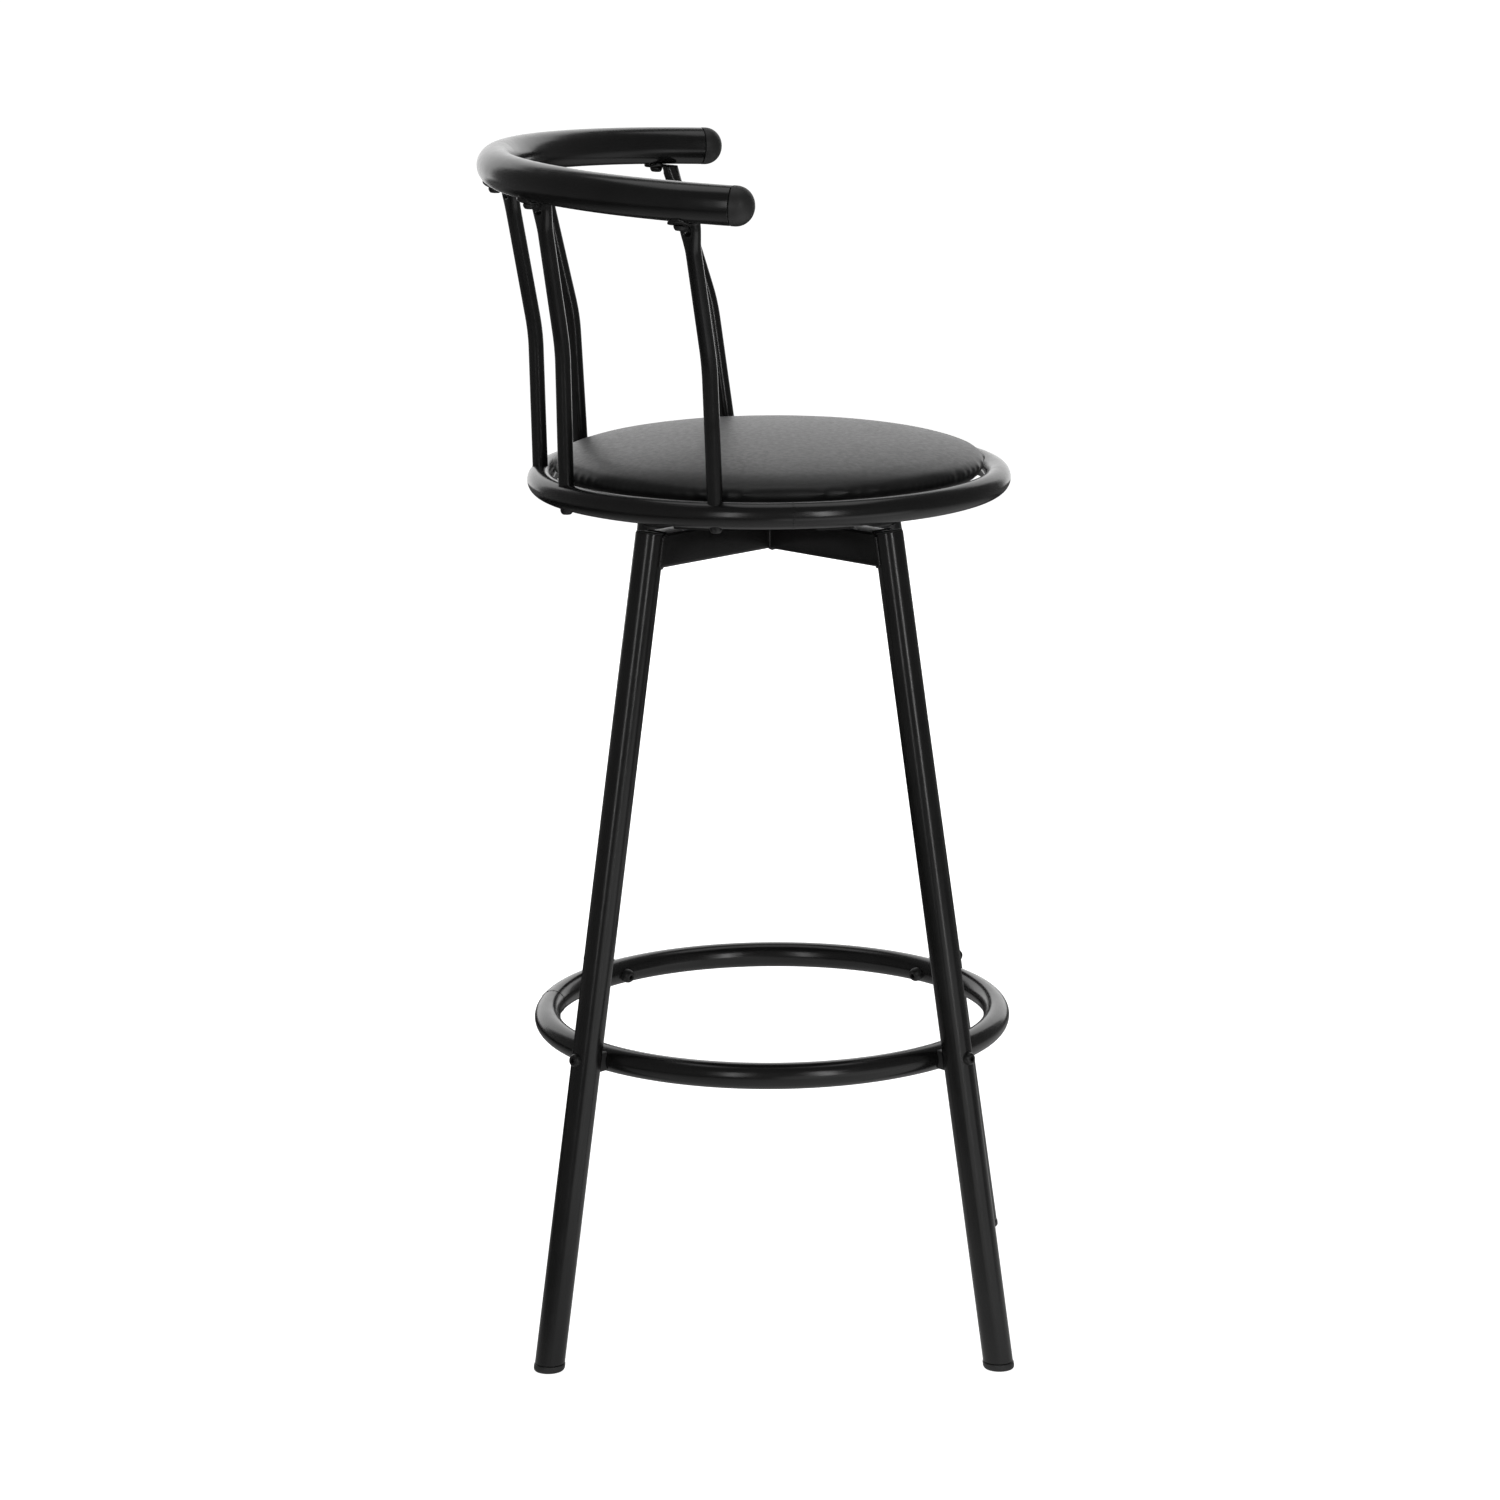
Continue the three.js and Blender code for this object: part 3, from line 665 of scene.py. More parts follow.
def ring_tube(name, radius, z, seam, node, body):
    """A bent tube closed to a ring, with its own seam as a fine ridge along it."""
    steps, sides = 240, 48
    rings = []
    for step in range(steps):
        outward = polar(1, 360 * step / steps)
        centre = AXIS + outward * radius + UP * z
        ring = []
        for side in range(sides):
            degrees = 360 * side / sides
            angle = math.radians(degrees)
            reach = RING_TUBE_RADIUS + (SEAM_RIDGE if abs(degrees - seam) < SEAM_HALF_WIDTH else 0)
            out, up = reach * math.cos(angle), reach * math.sin(angle)
            ring.append(centre + outward * out + UP * up)
        rings.append(ring)
    piece(name, loft(rings, closed=True), "black_paint", body, [node])


def butt_weld(name, radius, z, degrees, body):
    """The dressed weld where a ring's two ends meet, just proud of the tube."""
    outward = polar(1, degrees)
    centre = AXIS + outward * radius + UP * z
    proud = RING_TUBE_RADIUS - 0.45 * MM
    weld(name, section(centre, outward, proud, UP, proud, sides=48), BUTT_BEAD_RADIUS, body)


def footrest_spacer(corner, leg):
    """A saddle that beds on the ring and on the leg."""
    inner, outer = [], []
    for across, up in box_outline(8 * MM, 8 * MM, 2 * MM, 8):
        z = FOOTREST_Z + up
        ring_face = FOOTREST_RADIUS + math.sqrt((RING_TUBE_RADIUS + FIT) ** 2 - up**2)
        ring_face = math.sqrt(ring_face**2 - across**2)
        leg_middle = (leg.at(z) - AXIS - UP * z).length
        leg_face = leg_middle - math.sqrt((LEG_RADIUS + FIT) ** 2 - across**2) / leg.along.z
        place = AXIS + leg.across * across + UP * z
        inner.append(place + leg.outward * ring_face)
        outer.append(place + leg.outward * max(leg_face, ring_face + 0.2 * MM))
    between = [[a.lerp(b, t) for a, b in zip(inner, outer)] for t in (0.3, 0.7)]
    shape = loft([inner, *between, outer])
    node = f"footrest_spacer_{corner}"
    piece(f"footrest_saddle_{corner}", shape, "black_plastic", "base", [node])


def footrest_fasteners(corner, leg):
    """The bolt rises a little on its way out, so that its head beds on the sloping leg."""
    rise = math.radians(BOLT_RISE)
    along = leg.outward * math.cos(rise) + UP * math.sin(rise)
    middle = AXIS + UP * FOOTREST_Z + leg.outward * FOOTREST_RADIUS
    face = (leg.at(FOOTREST_Z) - middle).length + LEG_RADIUS
    head = socket_head(5.5 * MM, 3.4 * MM, 1.4 * MM)
    shank = plain_shank(45 * MM, 0.2 * MM)
    bolt = moved(joined(head, shank), pointing(along, middle + along * face))
    piece(f"footrest_bolt_head_{corner}", bolt, "black_screws", "base", [f"footrest_bolt_{corner}"])
    nut_place = middle - along * (RING_TUBE_RADIUS + 1.8 * MM)
    nut = moved(socket_head(6 * MM, 4.4 * MM, 2.6 * MM), pointing(-along, nut_place))
    piece(f"footrest_barrel_nut_{corner}", nut, "black_screws", "base", [f"footrest_nut_{corner}"])


# ---- Swivel ----


def plate_reach(degrees, half, corner):
    """How far a round-cornered square reaches from its middle in a direction."""
    angle = math.radians(degrees % 90)
    angle = min(angle, math.pi / 2 - angle)
    straight = half / math.cos(angle)
    if straight * math.sin(angle) <= half - corner:
        return straight
    inset = (half - corner) * math.sqrt(2)
    off = math.pi / 4 - angle
    return inset * math.cos(off) + math.sqrt(corner**2 - (inset * math.sin(off)) ** 2)


def swivel_plate(name, node, body, turn, facing):
    """A pressed plate with a raised track for the balls on the side that faces the other plate.

    A radius of None in its outline is the plate's own edge, less an inset.
    """
    low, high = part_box(node)
    back_z, face_z = (low.z, high.z) if facing > 0 else (high.z, low.z)
    track = facing * 2.6 * MM
    sides = 144
    edge = 0.5 * MM
    profile = [
        (None, back_z + facing * edge, 0),
        (None, face_z - facing * edge, 0),
        (None, face_z, edge),
        (56 * MM, face_z, 0),
        (54 * MM, face_z + 0.8 * track, 0),
        (52 * MM, face_z + track, 0),
        (49 * MM, face_z + track, 0),
        (47.4 * MM, face_z + 0.7 * track, 0),
        (46.8 * MM, face_z, 0),
        (20 * MM, face_z, 0),
        (20 * MM, back_z, 0),
        (49 * MM, back_z, 0),
        (51 * MM, back_z + 0.5 * track, 0),
        (53 * MM, back_z, 0),
        (None, back_z, edge),
    ]
    rings = []
    for radius, z, inset in profile:
        ring = []
        for side in range(sides):
            degrees = 360 * side / sides
            reach = radius or plate_reach(degrees, PLATE_HALF_SIZE, PLATE_CORNER) - inset
            ring.append(turn @ polar(reach, degrees, z))
        rings.append(ring)
    piece(name, loft(rings, closed=True), "zinc_steel", body, [node])


def ball(radius):
    steps = 10
    arc = [math.radians(-90 + 180 * step / steps) for step in range(steps + 1)]
    return turned([(radius * math.cos(a), radius * math.sin(a)) for a in arc], 16)


def ball_race():
    low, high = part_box("swivel_ball_race")
    middle = (low.z + high.z) / 2
    inner, outer, half = RACE_RADIUS - 5 * MM, RACE_RADIUS + 5 * MM, 0.5 * MM
    profile = [(inner, -half), (outer, -half), (outer, half), (inner, half)]
    cage = loft([circle(r, z, 96) for r, z in profile], closed=True)
    balls = []
    for index in range(BALL_COUNT):
        place = polar(RACE_RADIUS, 360 * (index + 0.5) / BALL_COUNT)
        balls.append(moved(ball(BALL_RADIUS), Matrix.Translation(place)))
    shape = moved(joined(cage, *balls), BASE @ Matrix.Translation(UP * middle))
    piece("ball_race", shape, "zinc_steel", "base", ["swivel_ball_race"])


def swivel_bolt(node, x, y, turn, body, facing):
    """A hexagon bolt whose head is on the swivel's side of its plate."""
    low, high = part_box(node)
    head_height = 3 * MM
    seat_z = high.z - head_height if facing > 0 else low.z + head_height
    place = turn @ Vector((x * PLATE_BOLT_SPREAD, y * PLATE_BOLT_SPREAD, seat_z))
    shank = plain_shank(high.z - low.z - head_height, 0.3 * MM)
    shape = joined(hexagon_head(4.4 * MM, head_height), shank)
    piece(f"{node}_head", moved(shape, pointing(UP * facing, place)), "zinc_steel", body, [node])


def swivel_fasteners():
    for corner, (x, y) in CORNERS.items():
        swivel_bolt(f"swivel_base_bolt_{corner}", x, y, BASE, "base", 1)
        swivel_bolt(f"seat_bolt_{corner}", x, y, SEAT, "seat", -1)


# ---- Seat ----


def seat_strap(name, side):
    """A flat bar under the ring, with its ends cut to the ring's curve."""
    low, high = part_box(name)
    middle_z, half_thickness = (low.z + high.z) / 2, (high.z - low.z) / 2
    outline = box_outline(STRAP_WIDTH / 2, half_thickness, 0.9 * MM, 6)
    rings = []
    for share in (-1, -0.98, -0.5, 0, 0.5, 0.98, 1):
        ring = []
        for across, up in outline:
            x = side * PLATE_BOLT_SPREAD + across
            reach = math.sqrt(STRAP_REACH**2 - x**2)
            ring.append(SEAT @ Vector((x, share * reach, middle_z + up)))
        rings.append(ring)
    piece(f"{name}_bar", loft(rings), "black_paint", "seat", [name])


def seat_board():
    low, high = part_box("seat_board")
    radius = (high.x - low.x) / 2
    outline = [(0, low.z), (radius, low.z), (radius, high.z), (0, high.z)]
    shape = moved(turned(rounded(outline, 1 * MM), 128), SEAT)
    piece("seat_board_panel", shape, "plywood", "seat", ["seat_board"])


def seat_cover_hem():
    """The vinyl drawn round the board's edge and gathered in small pleats underneath it."""
    low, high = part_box("seat_board")
    board = (high.x - low.x) / 2
    under, cushion_low = low.z - 0.15 * MM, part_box("seat_cushion")[0].z
    profile = rounded(
        [
            (board - 6 * MM, cushion_low + 1.5 * MM),
            (board + 6.5 * MM, cushion_low + 1.5 * MM),
            (board + 5.2 * MM, high.z - 4 * MM),
            (board + 1.6 * MM, under + 1.4 * MM),
            (board - 2.5 * MM, under - 0.25 * MM),
            (board - HEM_REACH, under),
            (board - HEM_REACH, under + 0.1 * MM),
            (board + 0.2 * MM, under + 0.1 * MM),
            (board + 0.2 * MM, high.z),
        ],
        1.2 * MM,
    )
    sides = 360
    rings = []
    for radius, z in profile:
        ring = []
        for side in range(sides):
            degrees = 360 * side / sides
            ripple = noise.noise(Vector((side * 0.11, 0, 0)))
            pleat = 0.5 * math.sin(math.radians(degrees * HEM_PLEATS)) + ripple
            depth = HEM_PLEAT_DEPTH if under + 0.12 * MM < z < high.z else 0
            ring.append(SEAT @ polar(radius + depth * pleat, degrees, z))
        rings.append(ring)
    piece("seat_cover_hem", loft(rings, closed=True), "seat_vinyl", "seat", sharp=60)


def dust_cover():
    """The black cloth stapled under the board."""
    low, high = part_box("seat_board")
    radius = (high.x - low.x) / 2 - HEM_REACH + 2 * MM
    top = low.z - 0.02 * MM
    outline = [(0, top - 0.5 * MM), (radius, top - 0.5 * MM), (radius, top), (0, top)]
    piece("seat_dust_cover", moved(turned(outline, 128), SEAT), "seat_vinyl", "seat")


def cushion_profile():
    """The pad's outline before it is stuffed, a little under its full size."""
    low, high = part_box("seat_cushion")
    radius = (high.x - low.x) / 2 - CUSHION_SHRINK
    crown = high.z - CUSHION_EDGE_Z - CUSHION_SHRINK
    arc = [math.radians(degrees) for degrees in range(-10, 91, 5)]
    return [
        (0, low.z),
        (radius - 11 * MM, low.z),
        (radius - 5 * MM, low.z + 2.5 * MM),
        *[(radius * math.cos(a), CUSHION_EDGE_Z + crown * math.sin(a)) for a in arc],
    ]


def apply_modifiers(obj):
    depsgraph = bpy.context.evaluated_depsgraph_get()
    mesh = bpy.data.meshes.new_from_object(obj.evaluated_get(depsgraph))
    obj.modifiers.clear()
    obj.data = mesh


def inflate(obj, pinned_below):
    """Stuffs the pad: cloth under pressure, held where it is stapled to the board, then eased."""
    start = [vertex.co.copy() for vertex in obj.data.vertices]
    pins = obj.vertex_groups.new(name="pins")
    pins.add([i for i, point in enumerate(start) if point.z < pinned_below], 1.0, "REPLACE")
    cloth = obj.modifiers.new("cloth", "CLOTH")
    cloth.settings.vertex_group_mass = "pins"
    cloth.settings.use_pressure = True
    cloth.settings.uniform_pressure_force = 1.5
    cloth.settings.bending_stiffness = 20
    cloth.settings.quality = 6
    cloth.settings.effector_weights.gravity = 0
    for step in range(1, 21):
        bpy.context.scene.frame_set(step)
    apply_modifiers(obj)
    obj.vertex_groups.clear()
    for vertex, before in zip(obj.data.vertices, start):
        move = vertex.co - before
        if move.length > CUSHION_SWELL:
            vertex.co = before + move.normalized() * CUSHION_SWELL
    ease = obj.modifiers.new("ease", "SMOOTH")
    ease.factor = 0.5
    ease.iterations = 8
    apply_modifiers(obj)


def let_out(obj):
    """Scales the pad's sides and the part above its widest to the CAD cushion's size."""
    low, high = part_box("seat_cushion")
    half = (high.x - low.x) / 2
    top = max(vertex.co.z for vertex in obj.data.vertices)
    widest = max((vertex.co - AXIS).xy.length for vertex in obj.data.vertices)
    for vertex in obj.data.vertices:
        point = vertex.co
        share = max(0.0, (point.z - CUSHION_EDGE_Z) / (top - CUSHION_EDGE_Z))
        around = (point - AXIS).xy * (half / widest)
        vertex.co = Vector((AXIS.x + around.x, around.y, point.z + share * (high.z - top)))


def seat_cushion():
    """A stuffed vinyl pad. It is simulated a little small, then let out to the CAD pad's size."""
    low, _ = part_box("seat_cushion")
    obj = shown("seat_cushion_cover", moved(turned(cushion_profile(), 128), SEAT), 60)
    remesh = obj.modifiers.new("remesh", "REMESH")
    remesh.mode = "VOXEL"
    remesh.voxel_size = 5 * MM
    apply_modifiers(obj)
    inflate(obj, low.z + 3 * MM)
    let_out(obj)
    subdivision = obj.modifiers.new("fine", "SUBSURF")
    subdivision.levels = subdivision.render_levels = 1
    apply_modifiers(obj)
    shade(obj, 60)
    finish(obj, "seat_vinyl", "seat", ["seat_cushion"])


def spindle_fastener(name):
    low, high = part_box(f"spindle_bolt_{name}")
    place = Vector(((low.x + high.x) / 2, (low.y + high.y) / 2, SEAT_RING_Z - RING_TUBE_RADIUS))
    shape = moved(socket_head(5.3 * MM, 3.6 * MM, 1.4 * MM), pointing(-UP, place))
    piece(f"spindle_bolt_head_{name}", shape, "black_screws", "seat", [f"spindle_bolt_{name}"])


# ---- Back ----


def under_rail(on_rail, drop):
    return RAIL @ polar(RAIL_RADIUS, 180 + on_rail, -drop)


def smooth(value):
    value = min(max(value, 0.0), 1.0)
    return value * value * (3 - 2 * value)


def hug_rail(point, share):
    """Lifts a point of a tab along the rail's normal until the tab beds on the round rail."""
    local = RAIL.inverted() @ point
    off = min(abs(local.xy.length - RAIL_RADIUS), 0.95 * RAIL_TUBE_RADIUS)
    reach = RAIL_TUBE_RADIUS + FIT
    lift = reach - math.sqrt(reach**2 - off**2)
    return RAIL @ (local + UP * (lift * share))


def dented(centre, through, across, half_width, half_depth, flat, dent):
    """A section of a spindle. Dent presses in its outer side, over a share of its width."""
    ring = []
    for point in section(centre, through, half_depth, across, half_width, flat, PINCH_SIDES):
        off = point - centre
        share = (off @ across) / (half_width * PINCH_POCKET)
        if off @ through > 0:
            point = point - through * (dent * (1 - min(share * share, 1)) ** 2)
        ring.append(point)
    return ring


class SpindleLine:
    """The line of a spindle: up its lower part, leaning back along its neck, out along its tab."""

    def __init__(self, name):
        on_seat, on_rail = SPINDLES[name]
        foot_z = SEAT_RING_Z - SPINDLE_FOOT_DROP
        self.base = AXIS + polar(SEAT_RING_RADIUS, 180 + on_seat + SEAT_TURN, foot_z)
        screw = under_rail(on_rail, RAIL_TUBE_RADIUS + FIT + TAB_THICKNESS / 2)
        rise = screw.z - self.base.z
        out = Vector((screw.x - self.base.x, screw.y - self.base.y, 0))
        tilt = math.atan2(out.length, rise) - math.atan2(SPINDLE_OFFSET, rise)
        self.across = UP.cross(out).normalized()
        self.normal = (RAIL.to_3x3() @ UP).normalized()
        self.tab = self.across.cross(self.normal).normalized()
        self.lower = Matrix.Rotation(tilt, 3, self.across) @ UP
        self.bend = self.base + self.lower * SPINDLE_BEND_HEIGHT
        self.knee = screw - self.tab * TAB_SCREW_REACH
        self.neck = (self.knee - self.bend).normalized()
        self.bend_high = self.bend + self.neck * SPINDLE_BEND_REACH
        self.fold()

    def fold(self):
        """Finds where the two walls of the neck meet the upper and the lower face of the tab."""
        self.outward = (self.tab - self.neck * (self.tab @ self.neck)).normalized()
        reach = TAB_THICKNESS / 2 + NECK_HALF_DEPTH * (self.outward @ self.normal)
        fall = reach / (self.neck @ self.normal)
        self.inner_corner = self.knee - self.outward * NECK_HALF_DEPTH + self.neck * fall
        self.outer_corner = self.knee + self.outward * NECK_HALF_DEPTH - self.neck * fall
        self.neck_top = self.knee - self.neck * (fall + FOLD_FILLET)
        self.tab_start = self.outer_corner + self.tab * FOLD_FILLET

    def ring(self, centre, along, width=SPINDLE_RADIUS, depth=SPINDLE_RADIUS, flat=0.0, dent=0.0):
        """A section across a direction, with half its width and half its depth."""
        outside = (self.tab - along * (self.tab @ along)).normalized()
        return dented(centre, outside, self.across, width, depth, flat, dent)


def lower_rings(line):
    """The straight lower part and the bend."""
    bend_low = line.bend - line.lower * SPINDLE_BEND_REACH
    rings = [line.ring(line.base.lerp(bend_low, step / 5), line.lower) for step in range(6)]
    for step in range(1, 9):
        t = step / 9
        centre = bend_low * (1 - t) ** 2 + line.bend * 2 * t * (1 - t) + line.bend_high * t * t
        rings.append(line.ring(centre, line.lower.lerp(line.neck, t).normalized()))
    return rings


def neck_rings(line):
    """The straight upper part, which widens to the tab and has a pocket pressed in near its top."""
    start = line.neck_top - line.neck * PINCH_LENGTH
    rings = [line.ring(line.bend_high.lerp(start, step / 5), line.neck) for step in range(5)]
    steps = 36
    for step in range(steps + 1):
        t = step / steps
        left = PINCH_LENGTH * (1 - t)
        width = SPINDLE_RADIUS + (TAB_HALF_WIDTH - SPINDLE_RADIUS) * smooth(t)
        depth = SPINDLE_RADIUS + (NECK_HALF_DEPTH - SPINDLE_RADIUS) * smooth(t)
        past_low = smooth((POCKET_LOW - left) / (3.5 * MM))
        past_high = smooth((POCKET_HIGH + 2 * MM - left) / (2 * MM))
        dent = PINCH_DEPTH * (past_low * (1 - past_high))
        centre = start.lerp(line.neck_top, t)
        rings.append(line.ring(centre, line.neck, width, depth, 0.5 * t, dent))
    return rings


def fold_rings(line):
    """A fan of sections from the neck round to the tab, each from the outer wall to the inner."""
    outer_from = line.outer_corner - line.neck * FOLD_FILLET
    outer_path = rounded([outer_from, line.outer_corner, line.tab_start], FOLD_FILLET, 6)
    inner_from = line.neck_top - line.outward * NECK_HALF_DEPTH
    inner_to = line.tab_start + line.normal * TAB_THICKNESS
    inner_path = rounded([inner_from, line.inner_corner, inner_to], 2 * FOLD_FILLET, 6)
    rings = []
    for step, (outer, inner) in enumerate(zip(outer_path[1:], inner_path[1:])):
        flat = 0.5 + 0.5 * (step + 1) / len(outer_path)
        outside = (outer - inner).normalized()
        depth = (outer - inner).length / 2
        middle = outer.lerp(inner, 0.5)
        rings.append(
            section(middle, outside, depth, line.across, TAB_HALF_WIDTH, flat, PINCH_SIDES)
        )
    return rings


def tab_rings(line):
    """The flat tab, with its end rounded off."""
    begin = (line.tab_start - line.knee) @ line.tab
    length = TAB_SCREW_REACH + TAB_END_REACH
    rings = []
    for step in range(1, 16):
        reach = begin + (length - begin) * math.sin(math.radians(6 * step))
        curve = max(0.0, reach - (length - TAB_CORNER))
        narrow = TAB_CORNER - math.sqrt(max(TAB_CORNER**2 - curve**2, 0))
        middle = line.knee + line.tab * reach
        width = TAB_HALF_WIDTH - narrow
        rings.append(
            section(middle, -line.normal, TAB_THICKNESS / 2, line.across, width, 1, PINCH_SIDES)
        )
    return rings


def bedded(line, point):
    """Lifts a point past the knee so that the tab beds on the rail, and leaves the rest alone."""
    if (point - line.knee) @ line.normal <= -2 * TAB_THICKNESS:
        return point
    past_knee = (point - line.knee) @ line.tab
    return hug_rail(point, smooth(past_knee / (7 * MM)))


def spindle(name):
    """A tube that stands on the ring, bends back, and is pinched to a tab that folds out."""
    line = SpindleLine(name)
    rings = lower_rings(line) + neck_rings(line) + fold_rings(line) + tab_rings(line)
    shape = loft([[bedded(line, point) for point in ring] for ring in rings])
    piece(f"spindle_tube_{name}", shape, "black_paint", "seat", [f"spindle_{name}"], 50)


def rail_screw(name):
    _, on_rail = SPINDLES[name]
    place = under_rail(on_rail, RAIL_TUBE_RADIUS + TAB_THICKNESS + 2 * FIT)
    head = socket_head(5.5 * MM, 3.6 * MM, 0.4 * MM)
    shape = moved(head, pointing(-(RAIL.to_3x3() @ UP), place))
    piece(f"rail_screw_head_{name}", shape, "black_screws", "seat", [f"rail_screw_{name}"])


def back_rail():
    """A bent tube with open, dressed ends. It stops just short of its caps' shoulders."""
    steps = 160
    edge = 0.35 * MM
    bore = RAIL_TUBE_RADIUS - WALL
    end = RAIL_HALF_ANGLE - math.degrees((RAIL_CAP_SHOULDER + RAIL_CAP_GAP) / RAIL_RADIUS)
    full = end - math.degrees(edge / RAIL_RADIUS)
    stations = [(-end, bore), (-end, RAIL_TUBE_RADIUS - edge)]
    stations += [(-full + 2 * full * step / steps, RAIL_TUBE_RADIUS) for step in range(steps + 1)]
    stations += [(end, RAIL_TUBE_RADIUS - edge), (end, bore)]
    stations += [(end * (1 - 2 * step / steps), bore) for step in range(1, steps)]
    rings = []
    for on_rail, radius in stations:
        outward = polar(1, 180 + on_rail)
        ring = section(outward * RAIL_RADIUS, outward, radius, UP, radius, 0, 64)
        rings.append([RAIL @ point for point in ring])
    piece("back_rail_tube", loft(rings, closed=True), "black_paint", "seat", ["back_rail"])


def rail_cap(name, side):
    """A plug with a domed end, and a shoulder as wide as the tube."""
    collar = 0.08 * RAIL_CAP_LENGTH
    plug = RAIL_TUBE_RADIUS - WALL - 0.2 * MM
    radius = RAIL_TUBE_RADIUS + 0.1 * MM
    profile = [
        (0, -12 * MM),
        (plug, -12 * MM),
        (plug, -RAIL_CAP_SHOULDER),
        (radius - 0.3 * MM, -RAIL_CAP_SHOULDER),
        (radius, -RAIL_CAP_SHOULDER + 0.3 * MM),
        (radius, collar),
    ]
    steps = 16
    for step in range(1, steps + 1):
        t = math.sin(math.radians(90 * step / steps))
        shrink = (1 - t**RAIL_CAP_BULGE) ** (1 / RAIL_CAP_BULGE)
        profile.append((radius * shrink, collar + (RAIL_CAP_LENGTH - collar) * t))
    heading = 180 - side * RAIL_HALF_ANGLE
    along = polar(1, heading - side * 90)
    place = RAIL @ pointing(along, polar(RAIL_RADIUS, heading))
    piece(f"{name}_dome", moved(turned(profile, 64), place), "black_plastic", "seat", [name])


# ---- Studio ----


CAMERA_LENS = 118.33  # millimetres, on a 36 mm sensor
CAMERA_DISTANCE = 4103.5 * MM
CAMERA_HEIGHT = 1410.3 * MM
CAMERA_PITCH = 12.66  # degrees below the horizon
CAMERA_YAW = 0.244  # degrees
CAMERA_ROLL = -0.379  # degrees
FLOOR_RADIUS = 60
POOL_RADIUS = 2.2


def camera():
    data = bpy.data.cameras.new("camera")
    data.lens = CAMERA_LENS
    data.sensor_width = 36
    data.clip_end = 200
    obj = bpy.data.objects.new("camera", data)
    bpy.context.scene.collection.objects.link(obj)
    place = Matrix.Translation((0, -CAMERA_DISTANCE, CAMERA_HEIGHT))
    pitch = rotation(90 - CAMERA_PITCH, "X")
    aim = rotation(CAMERA_YAW, "Z") @ pitch @ rotation(CAMERA_ROLL, "Z")
    obj.matrix_world = BASE @ place @ aim
    bpy.context.scene.camera = obj


def glow(name, grey, strength):
    """A dull studio surface that shines white by itself."""
    material = bpy.data.materials.new(name)
    material.use_nodes = True
    shader = material.node_tree.nodes["Principled BSDF"]
    shader.inputs["Base Color"].default_value = (grey, grey, grey, 1)
    shader.inputs["Roughness"].default_value = 0.9
    shader.inputs["Specular IOR Level"].default_value = 0
    shader.inputs["Emission Color"].default_value = (1, 1, 1, 1)
    shader.inputs["Emission Strength"].default_value = strength
    return material


def pool_of_light():
    """The lit floor as the tubes mirror it, brightest beside the stool, to its front right."""
    material = glow("pool_of_light", 0, 0.75)
    tree = material.node_tree
    coordinates = tree.nodes.new("ShaderNodeTexCoord")
    mapping = tree.nodes.new("ShaderNodeMapping")
    mapping.inputs["Location"].default_value = (-0.35, 0.2, 0)
    mapping.inputs["Scale"].default_value = (0.5, 0.5, 0.5)
    gradient = tree.nodes.new("ShaderNodeTexGradient")
    gradient.gradient_type = "SPHERICAL"
    tree.links.new(coordinates.outputs["Object"], mapping.inputs["Vector"])
    tree.links.new(mapping.outputs["Vector"], gradient.inputs["Vector"])
    shine = tree.nodes["Principled BSDF"].inputs["Emission Color"]
    tree.links.new(gradient.outputs["Color"], shine)
    return material


def stage_disc(name, radius, z, material):
    rim = circle(radius, z, 96)
    mesh = bpy.data.meshes.new(name)
    mesh.from_pydata(rim, [], [tuple(range(len(rim)))])
    mesh.materials.append(material)
    obj = bpy.data.objects.new(name, mesh)
    bpy.context.scene.collection.objects.link(obj)
    return obj


def panel(name, place, aim, width, height, power):
    """A soft box that the camera does not see."""
    data = bpy.data.lights.new(name, "AREA")
    data.shape = "RECTANGLE"
    data.size = width
    data.size_y = height
    data.energy = power
    obj = bpy.data.objects.new(name, data)
    bpy.context.scene.collection.objects.link(obj)
    obj.location = place
    obj.rotation_euler = (Vector(aim) - Vector(place)).to_track_quat("-Z", "Y").to_euler()
    obj.visible_camera = False


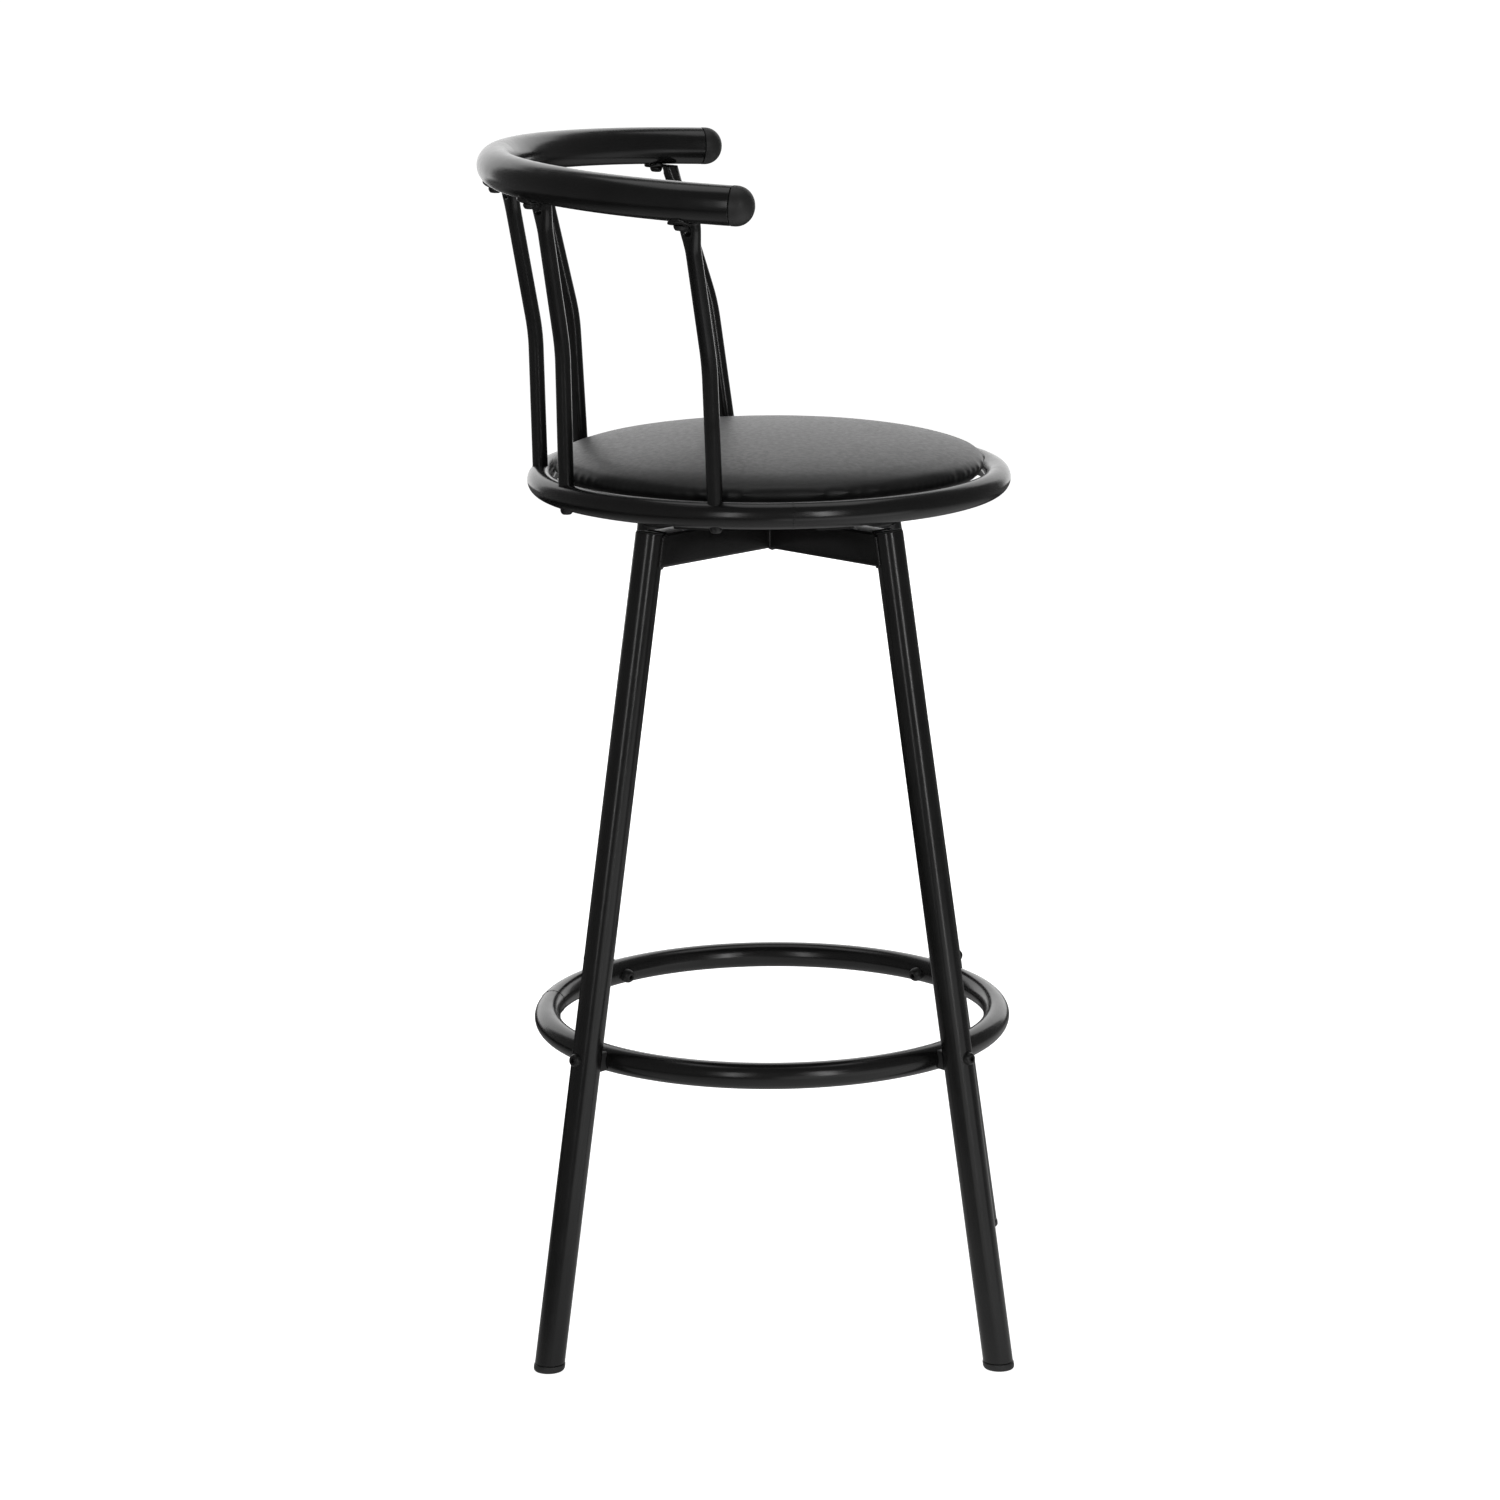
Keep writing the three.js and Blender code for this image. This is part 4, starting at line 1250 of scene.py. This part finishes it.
def studio():
    scene = bpy.context.scene
    scene.view_settings.view_transform = "Standard"
    world = bpy.data.worlds.new("world")
    scene.world = world
    world.use_nodes = True
    background = world.node_tree.nodes["Background"]
    background.inputs["Color"].default_value = (1, 1, 1, 1)
    background.inputs["Strength"].default_value = 0.14

    floor = stage_disc("floor", FLOOR_RADIUS, -0.5 * MM, glow("floor", 0.9, 0.95))
    floor.visible_glossy = False
    reflected = stage_disc("floor_reflection", POOL_RADIUS, -1 * MM, pool_of_light())
    reflected.visible_camera = False
    reflected.visible_diffuse = False
    reflected.visible_shadow = False

    panel("front_left", (-1.2, -3.0, 1.5), (0, 0, 0.7), 0.35, 2.0, 9)
    panel("front_right", (1.2, -3.0, 1.5), (0, 0, 0.7), 0.35, 2.0, 15)
    panel("low_right", (0.66, -0.95, 0.21), (0.2, 0, 0.3), 1.48, 0.42, 1.0)
    panel("top", (0, 0.4, 3.2), (0, 0, 0.7), 2.4, 1.6, 12)
    panel("back", (0, 3.5, 1.7), (0, 0, 0.9), 6.0, 3.4, 80)


# ---- Assembly ----

camera()
legs = base_legs()
ring_tube("footrest_tube", FOOTREST_RADIUS, FOOTREST_Z, 180, "footrest_ring", "base")
butt_weld("footrest_butt_weld", FOOTREST_RADIUS, FOOTREST_Z, 166, "base")
for corner, leg in legs.items():
    footrest_spacer(corner, leg)
    footrest_fasteners(corner, leg)
swivel_plate("lower_plate", "swivel_lower_plate", "base", BASE, 1)
swivel_plate("upper_plate", "swivel_upper_plate", "seat", SEAT, -1)
ball_race()
swivel_fasteners()
ring_tube("seat_ring_tube", SEAT_RING_RADIUS, SEAT_RING_Z, 270, "seat_ring", "seat")
butt_weld("seat_ring_butt_weld", SEAT_RING_RADIUS, SEAT_RING_Z, -88, "seat")
seat_strap("seat_strap_front", 1)
seat_strap("seat_strap_rear", -1)
seat_board()
seat_cover_hem()
dust_cover()
seat_cushion()
for name in SPINDLES:
    spindle(name)
    spindle_fastener(name)
    rail_screw(name)
back_rail()
rail_cap("rail_cap_left", 1)
rail_cap("rail_cap_right", -1)
studio()
